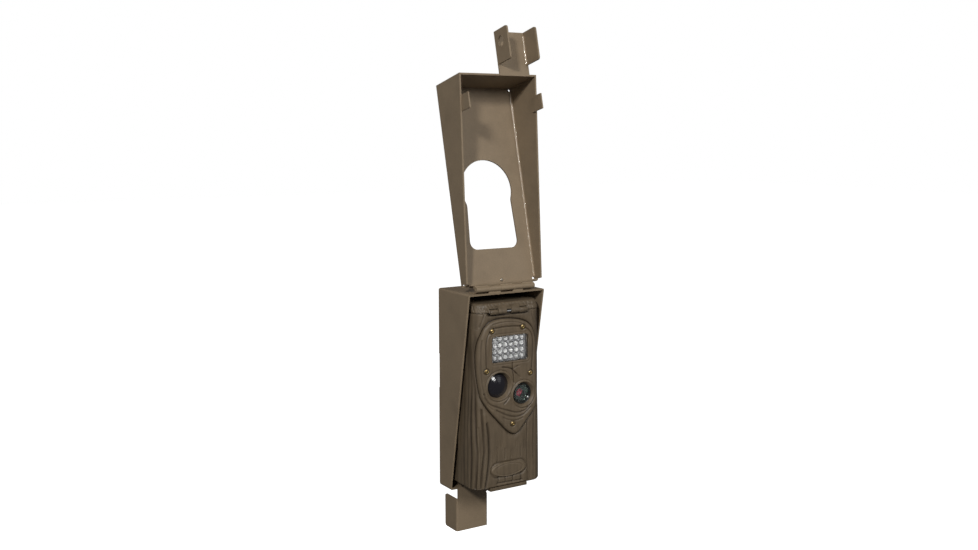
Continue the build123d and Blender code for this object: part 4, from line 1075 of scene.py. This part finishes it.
def make_cap():
    """Bark-like skin over the cap, which swells over the hinge and leaves its slots open."""
    columns = np.linspace(-1, 1, 380)
    heights = np.concatenate([np.linspace(CAP_LOW, 222.4, 26), np.linspace(222.6, CAP_HIGH, 12)])
    rows, cols = len(heights), len(columns)
    h = np.repeat(heights[:, None], cols, 1)
    rise = (h - 215.0) / 10.0
    flat, y_front = 43.5 - CAP_CORNER - 2.0 * rise, -74.5 + 3.5 * rise
    inset = CAP_ROUND - np.sqrt(CAP_ROUND**2 - np.maximum(0, h - 222.5) ** 2)
    s = columns * (flat + CAP_CORNER * (math.pi / 2 - 1) + CAP_REAR - y_front)
    x, y, nx, ny = section(s, flat, y_front, CAP_CORNER)
    swell = smoothstep(-30.6, -28.9, s) * smoothstep(24.6, 22.9, s)
    swell *= 3.7 * (1 - smoothstep(217.6, 223.4, h) * 0.95)
    relief = 0.5 + 0.22 * grain(s * 0.9, h, 47) + grooves(s, h, CAP_SPLITS)
    relief -= 0.9 * bell(h - CAP_LOW, 0.5) * (swell < 0.5)
    # painted shade where the relief sinks, in the splits and along the lower edge
    painted_shade = np.clip(0.2 - relief, 0, 1)
    lift = relief + swell - inset
    px, py = x + nx * lift, y + ny * lift
    for x0, x1, reach in CAP_SLOTS:
        room = np.clip(reach**2 - (h - DOOR_AXIS[1]) ** 2, 0, None)
        low = h < DOOR_AXIS[1] + reach
        limit = np.where(low, DOOR_AXIS[0] + np.sqrt(room), NO_LIMIT)
        inside = (px > x0) & (px < x1) & (py < -60)
        py = np.where(inside, np.maximum(py, limit), py)
        # painted shade in the slots round the door's knuckles and the pin
        painted_shade = np.where(inside & low, 0.8, painted_shade)
    sunk = inset + 0.7
    outer = np.stack([px, py, h], -1)
    inner = np.stack([x - nx * sunk, np.maximum(y - ny * sunk, py + 0.3), h], -1)
    points = np.concatenate([outer.reshape(-1, 3), inner.reshape(-1, 3)])
    piece = make_piece("rear_housing_cap_bark", points, sheet_faces(rows, cols), PLASTIC, "root",
                       "camera_plastic")
    store_painted_shade(piece, painted_shade.ravel())


make_cap()

# ------ inside, behind the door
CELL_SPOTS = [(-17.6, -25.1), (17.6, -25.1)]
CELL_LEVELS = [19.6, 81.3]
CELL_R = 17.1
CELL_BODY = 60.0
PANEL_FACE = -43.4
LCD = (-13.0, 192.5)
LCD_SIZE = (36.0, 15.0)
KNOB = (-26.0, 165.0)
KNOB_R = 9.0
BUTTONS = [(-8.0, 165.0), (5.0, 165.0)]
COPPER = metal("cell_copper", (0.72, 0.4, 0.2), (0.2, 0.34))


def lathe_z(profile, centre, segments=72):
    """Solid of revolution about an upright axis. The closed profile holds (radius, h) points."""
    points, faces = lathe_y([(radius, height) for radius, height in profile], (0, 0), segments)
    return [(centre[0] + x, centre[1] + side, height) for x, height, side in points], faces


def make_cells():
    """Crimped steel rims and the coloured shoulder of the wrap on each cell."""
    rims, shoulders = Parts(), Parts()
    for spot in CELL_SPOTS:
        for low in CELL_LEVELS:
            for height, way in ((low, 1), (low + CELL_BODY, -1)):
                rims.add(*lathe_z([
                    (CELL_R - 1.4, height - 0.1 * way), (CELL_R - 0.3, height - 0.15 * way),
                    (CELL_R + 0.02, height + 0.2 * way), (CELL_R + 0.1, height + 0.7 * way),
                    (CELL_R + 0.02, height + 1.2 * way), (CELL_R - 0.3, height + 1.2 * way),
                    (CELL_R - 1.4, height + 0.5 * way)], spot))
            top = low + CELL_BODY - 1.3
            shoulders.add(*lathe_z([
                (CELL_R - 0.3, top - 14.0), (CELL_R + 0.04, top - 14.0),
                (CELL_R + 0.07, top - 13.8), (CELL_R + 0.07, top - 0.2),
                (CELL_R + 0.04, top), (CELL_R - 0.3, top)], spot))
    make_piece("cell_rims", rims.points, rims.faces, ZINC, "root", "zinc_steel")
    make_piece("cell_shoulders", shoulders.points, shoulders.faces, COPPER, "root", "battery_wrap")


def make_panel_trim():
    """Raised frames, collars and dial marks on the door's inner panel."""
    parts = Parts()
    base = PANEL_FACE - 0.3
    wide, tall = LCD_SIZE
    parts.add(*tube_y(rounded_rect(LCD, wide + 0.6, tall + 0.6, 1.8),
                      rounded_rect(LCD, wide + 5, tall + 5, 3), PANEL_FACE + 0.9, base))
    for centre, width, height in (((0, 84), 62, 104), ((0, 84), 50, 92)):
        parts.add(*tube_y(rounded_rect(centre, width, height, 5),
                          rounded_rect(centre, width + 1.6, height + 1.6, 5.8),
                          PANEL_FACE + 0.6, base))
    for centre in BUTTONS:
        parts.add(*lathe_y([(4.5, base), (6.2, base), (5.9, PANEL_FACE + 0.7),
                            (5.5, PANEL_FACE + 1.0), (4.9, PANEL_FACE + 0.9),
                            (4.5, PANEL_FACE + 0.4)], centre))
    parts.add(*lathe_y([(KNOB_R + 0.8, base), (KNOB_R + 2.2, base),
                        (KNOB_R + 1.9, PANEL_FACE + 0.7), (KNOB_R + 1.1, PANEL_FACE + 0.7)],
                       KNOB, 96))
    make_piece("inner_panel_trim", parts.points, parts.faces, BLACK, "door", "black_plastic",
               smooth=False)
    marks = Parts()
    for step in range(7):
        turn = math.radians(-60 + 50 * step)
        along = np.array([math.cos(turn), math.sin(turn)])
        across = np.array([-along[1], along[0]]) * 0.3
        near, far = np.array(KNOB) + along * 12.0, np.array(KNOB) + along * 13.6
        outline = [near + across, far + across, far - across, near - across]
        marks.add(*prism_y([tuple(p) for p in outline], PANEL_FACE + 0.15, base))
    make_piece("mode_dial_marks", marks.points, marks.faces, GREY_KEY, "door", "button_grey",
               smooth=False)
    grip = Parts()
    for step in range(30):
        turn = 2 * math.pi * step / 30
        spot = (KNOB[0] + KNOB_R * math.cos(turn), KNOB[1] + KNOB_R * math.sin(turn))
        grip.add(*prism_y(ring_points(0.42, 10, spot), -37.4, -42.2))
    make_piece("mode_knob_grip", grip.points, grip.faces, BLACK, "knob", "black_plastic")


make_cells()
make_panel_trim()

# ------ bends of the cover
# The open cover has a frame of its own: v runs from the hinge to the free end along the
# face plate, w runs from the plate's outer face into the tray.
COVER_LEAN = math.radians(13.7)
COVER_V = np.array([0, math.sin(COVER_LEAN), math.cos(COVER_LEAN)])
COVER_W = np.array([0, -math.cos(COVER_LEAN), math.sin(COVER_LEAN)])
COVER_HINGE = np.array([0, -68.0, 241.0])
COVER_START = COVER_HINGE + 5.0 * COVER_V - 15.5 * COVER_W
# (x of the wall, side that the wall is on, w of the plate, first v, last v)
COVER_BENDS = [(49.0, 1, 2.0, 6.0, 225.6), (-49.0, -1, 2.0, 6.0, 225.6),
               (40.0, 1, 55.1, 242.6, 276.0), (4.0, -1, 55.1, 242.6, 276.0)]
# the coat made lighter along the bends: painted highlight
BEND_HIGHLIGHT = plain_gloss("bend_painted_highlight", shade(STEEL_COLOUR, 1.3), 0.3, 0.35, 240, 0.25)


def make_bends():
    """Glossy hollow fillet along each inner bend, in a coat lighter than the steel's as a painted
    highlight.
    """
    parts = Parts()
    for wall, side, plate, first, last in COVER_BENDS:
        rows = int(last - first)
        turn, v = np.meshgrid(np.linspace(0, math.pi / 2, 9), np.linspace(first, last, rows))
        radius = 1.6 + 0.3 * grain(v * 0.8, turn * 0 + wall, 61)
        across, out = np.sin(turn), -np.cos(turn)
        sheets = []
        for depth in (0.0, 0.9):
            x = wall - side * radius + side * (radius + depth) * across
            w = plate + radius + (radius + depth) * out
            sheet = COVER_START + v[..., None] * COVER_V + w[..., None] * COVER_W
            sheet[..., 0] = x
            sheets.append(sheet.reshape(-1, 3))
        parts.add(np.concatenate(sheets), sheet_faces(rows, 9))
    make_piece("cover_bend_highlight", parts.points, parts.faces, BEND_HIGHLIGHT, "cover", "steel_paint")


make_bends()

# ------ camera and light
VIEW_POINT = (-0.6617, -1.0827, 0.3006)
VIEW_TILT = math.radians(82.31)
VIEW_TURN = math.radians(-32.17)
LENS_MM = 39.82
SENSOR_MM = 36
FLOOR_SIZE = 40
FLOOR_DROP = 0.9


def make_camera():
    data = bpy.data.cameras.new("view")
    data.lens = LENS_MM
    data.sensor_width = SENSOR_MM
    camera = bpy.data.objects.new("view", data)
    camera.location = VIEW_POINT
    camera.rotation_euler = (VIEW_TILT, 0, VIEW_TURN)
    bpy.context.scene.collection.objects.link(camera)
    bpy.context.scene.camera = camera


def area_light(name, place, target, size, power, colour=(1, 1, 1)):
    data = bpy.data.lights.new(name, "AREA")
    data.shape = "DISK"
    data.size = size
    data.energy = power
    data.color = colour
    light = bpy.data.objects.new(name, data)
    light.location = place
    light.rotation_euler = (Vector(target) - Vector(place)).to_track_quat("-Z", "Y").to_euler()
    bpy.context.scene.collection.objects.link(light)
    return light


def make_world():
    world = bpy.data.worlds.new("studio")
    world.use_nodes = True
    tree = world.node_tree
    background = tree.nodes["Background"]
    background.inputs["Color"].default_value = (1, 1, 1, 1)
    path = node(tree, "ShaderNodeLightPath")
    strength = node(tree, "ShaderNodeMapRange", To_Min=0.1, To_Max=1.0)
    tree.links.new(path.outputs["Is Camera Ray"], strength.inputs["Value"])
    tree.links.new(strength.outputs["Result"], background.inputs["Strength"])
    bpy.context.scene.world = world


def make_floor():
    bpy.ops.mesh.primitive_plane_add(size=FLOOR_SIZE, location=(0, 0, cad_low.z - FLOOR_DROP))
    floor = bpy.context.active_object
    floor.name = "studio_floor"
    material, tree, shader = new_material("floor_paper")
    shader.inputs["Base Color"].default_value = (0.97, 0.97, 0.97, 1)
    shader.inputs["Roughness"].default_value = 0.9
    shader.inputs["Emission Color"].default_value = (1, 1, 1, 1)
    shader.inputs["Emission Strength"].default_value = 1.0
    floor.data.materials.append(material)
    floor.visible_diffuse = False
    floor.visible_glossy = False


make_camera()
centre = (cad_low + cad_high) / 2
area_light("key", (-1.75, -1.55, 1.35), centre, 0.3, 34, (1.0, 0.985, 0.96))
area_light("front", (0.0, -2.35, 1.35), centre, 0.9, 28, (1.0, 0.99, 0.97))
area_light("fill", (1.35, -2.0, 0.8), centre, 1.1, 2, (0.96, 0.98, 1.0))
area_light("back", (0.1, 2.4, 0.4), centre, 1.4, 34).visible_glossy = False
make_world()
make_floor()
bpy.context.scene.view_settings.view_transform = "Standard"
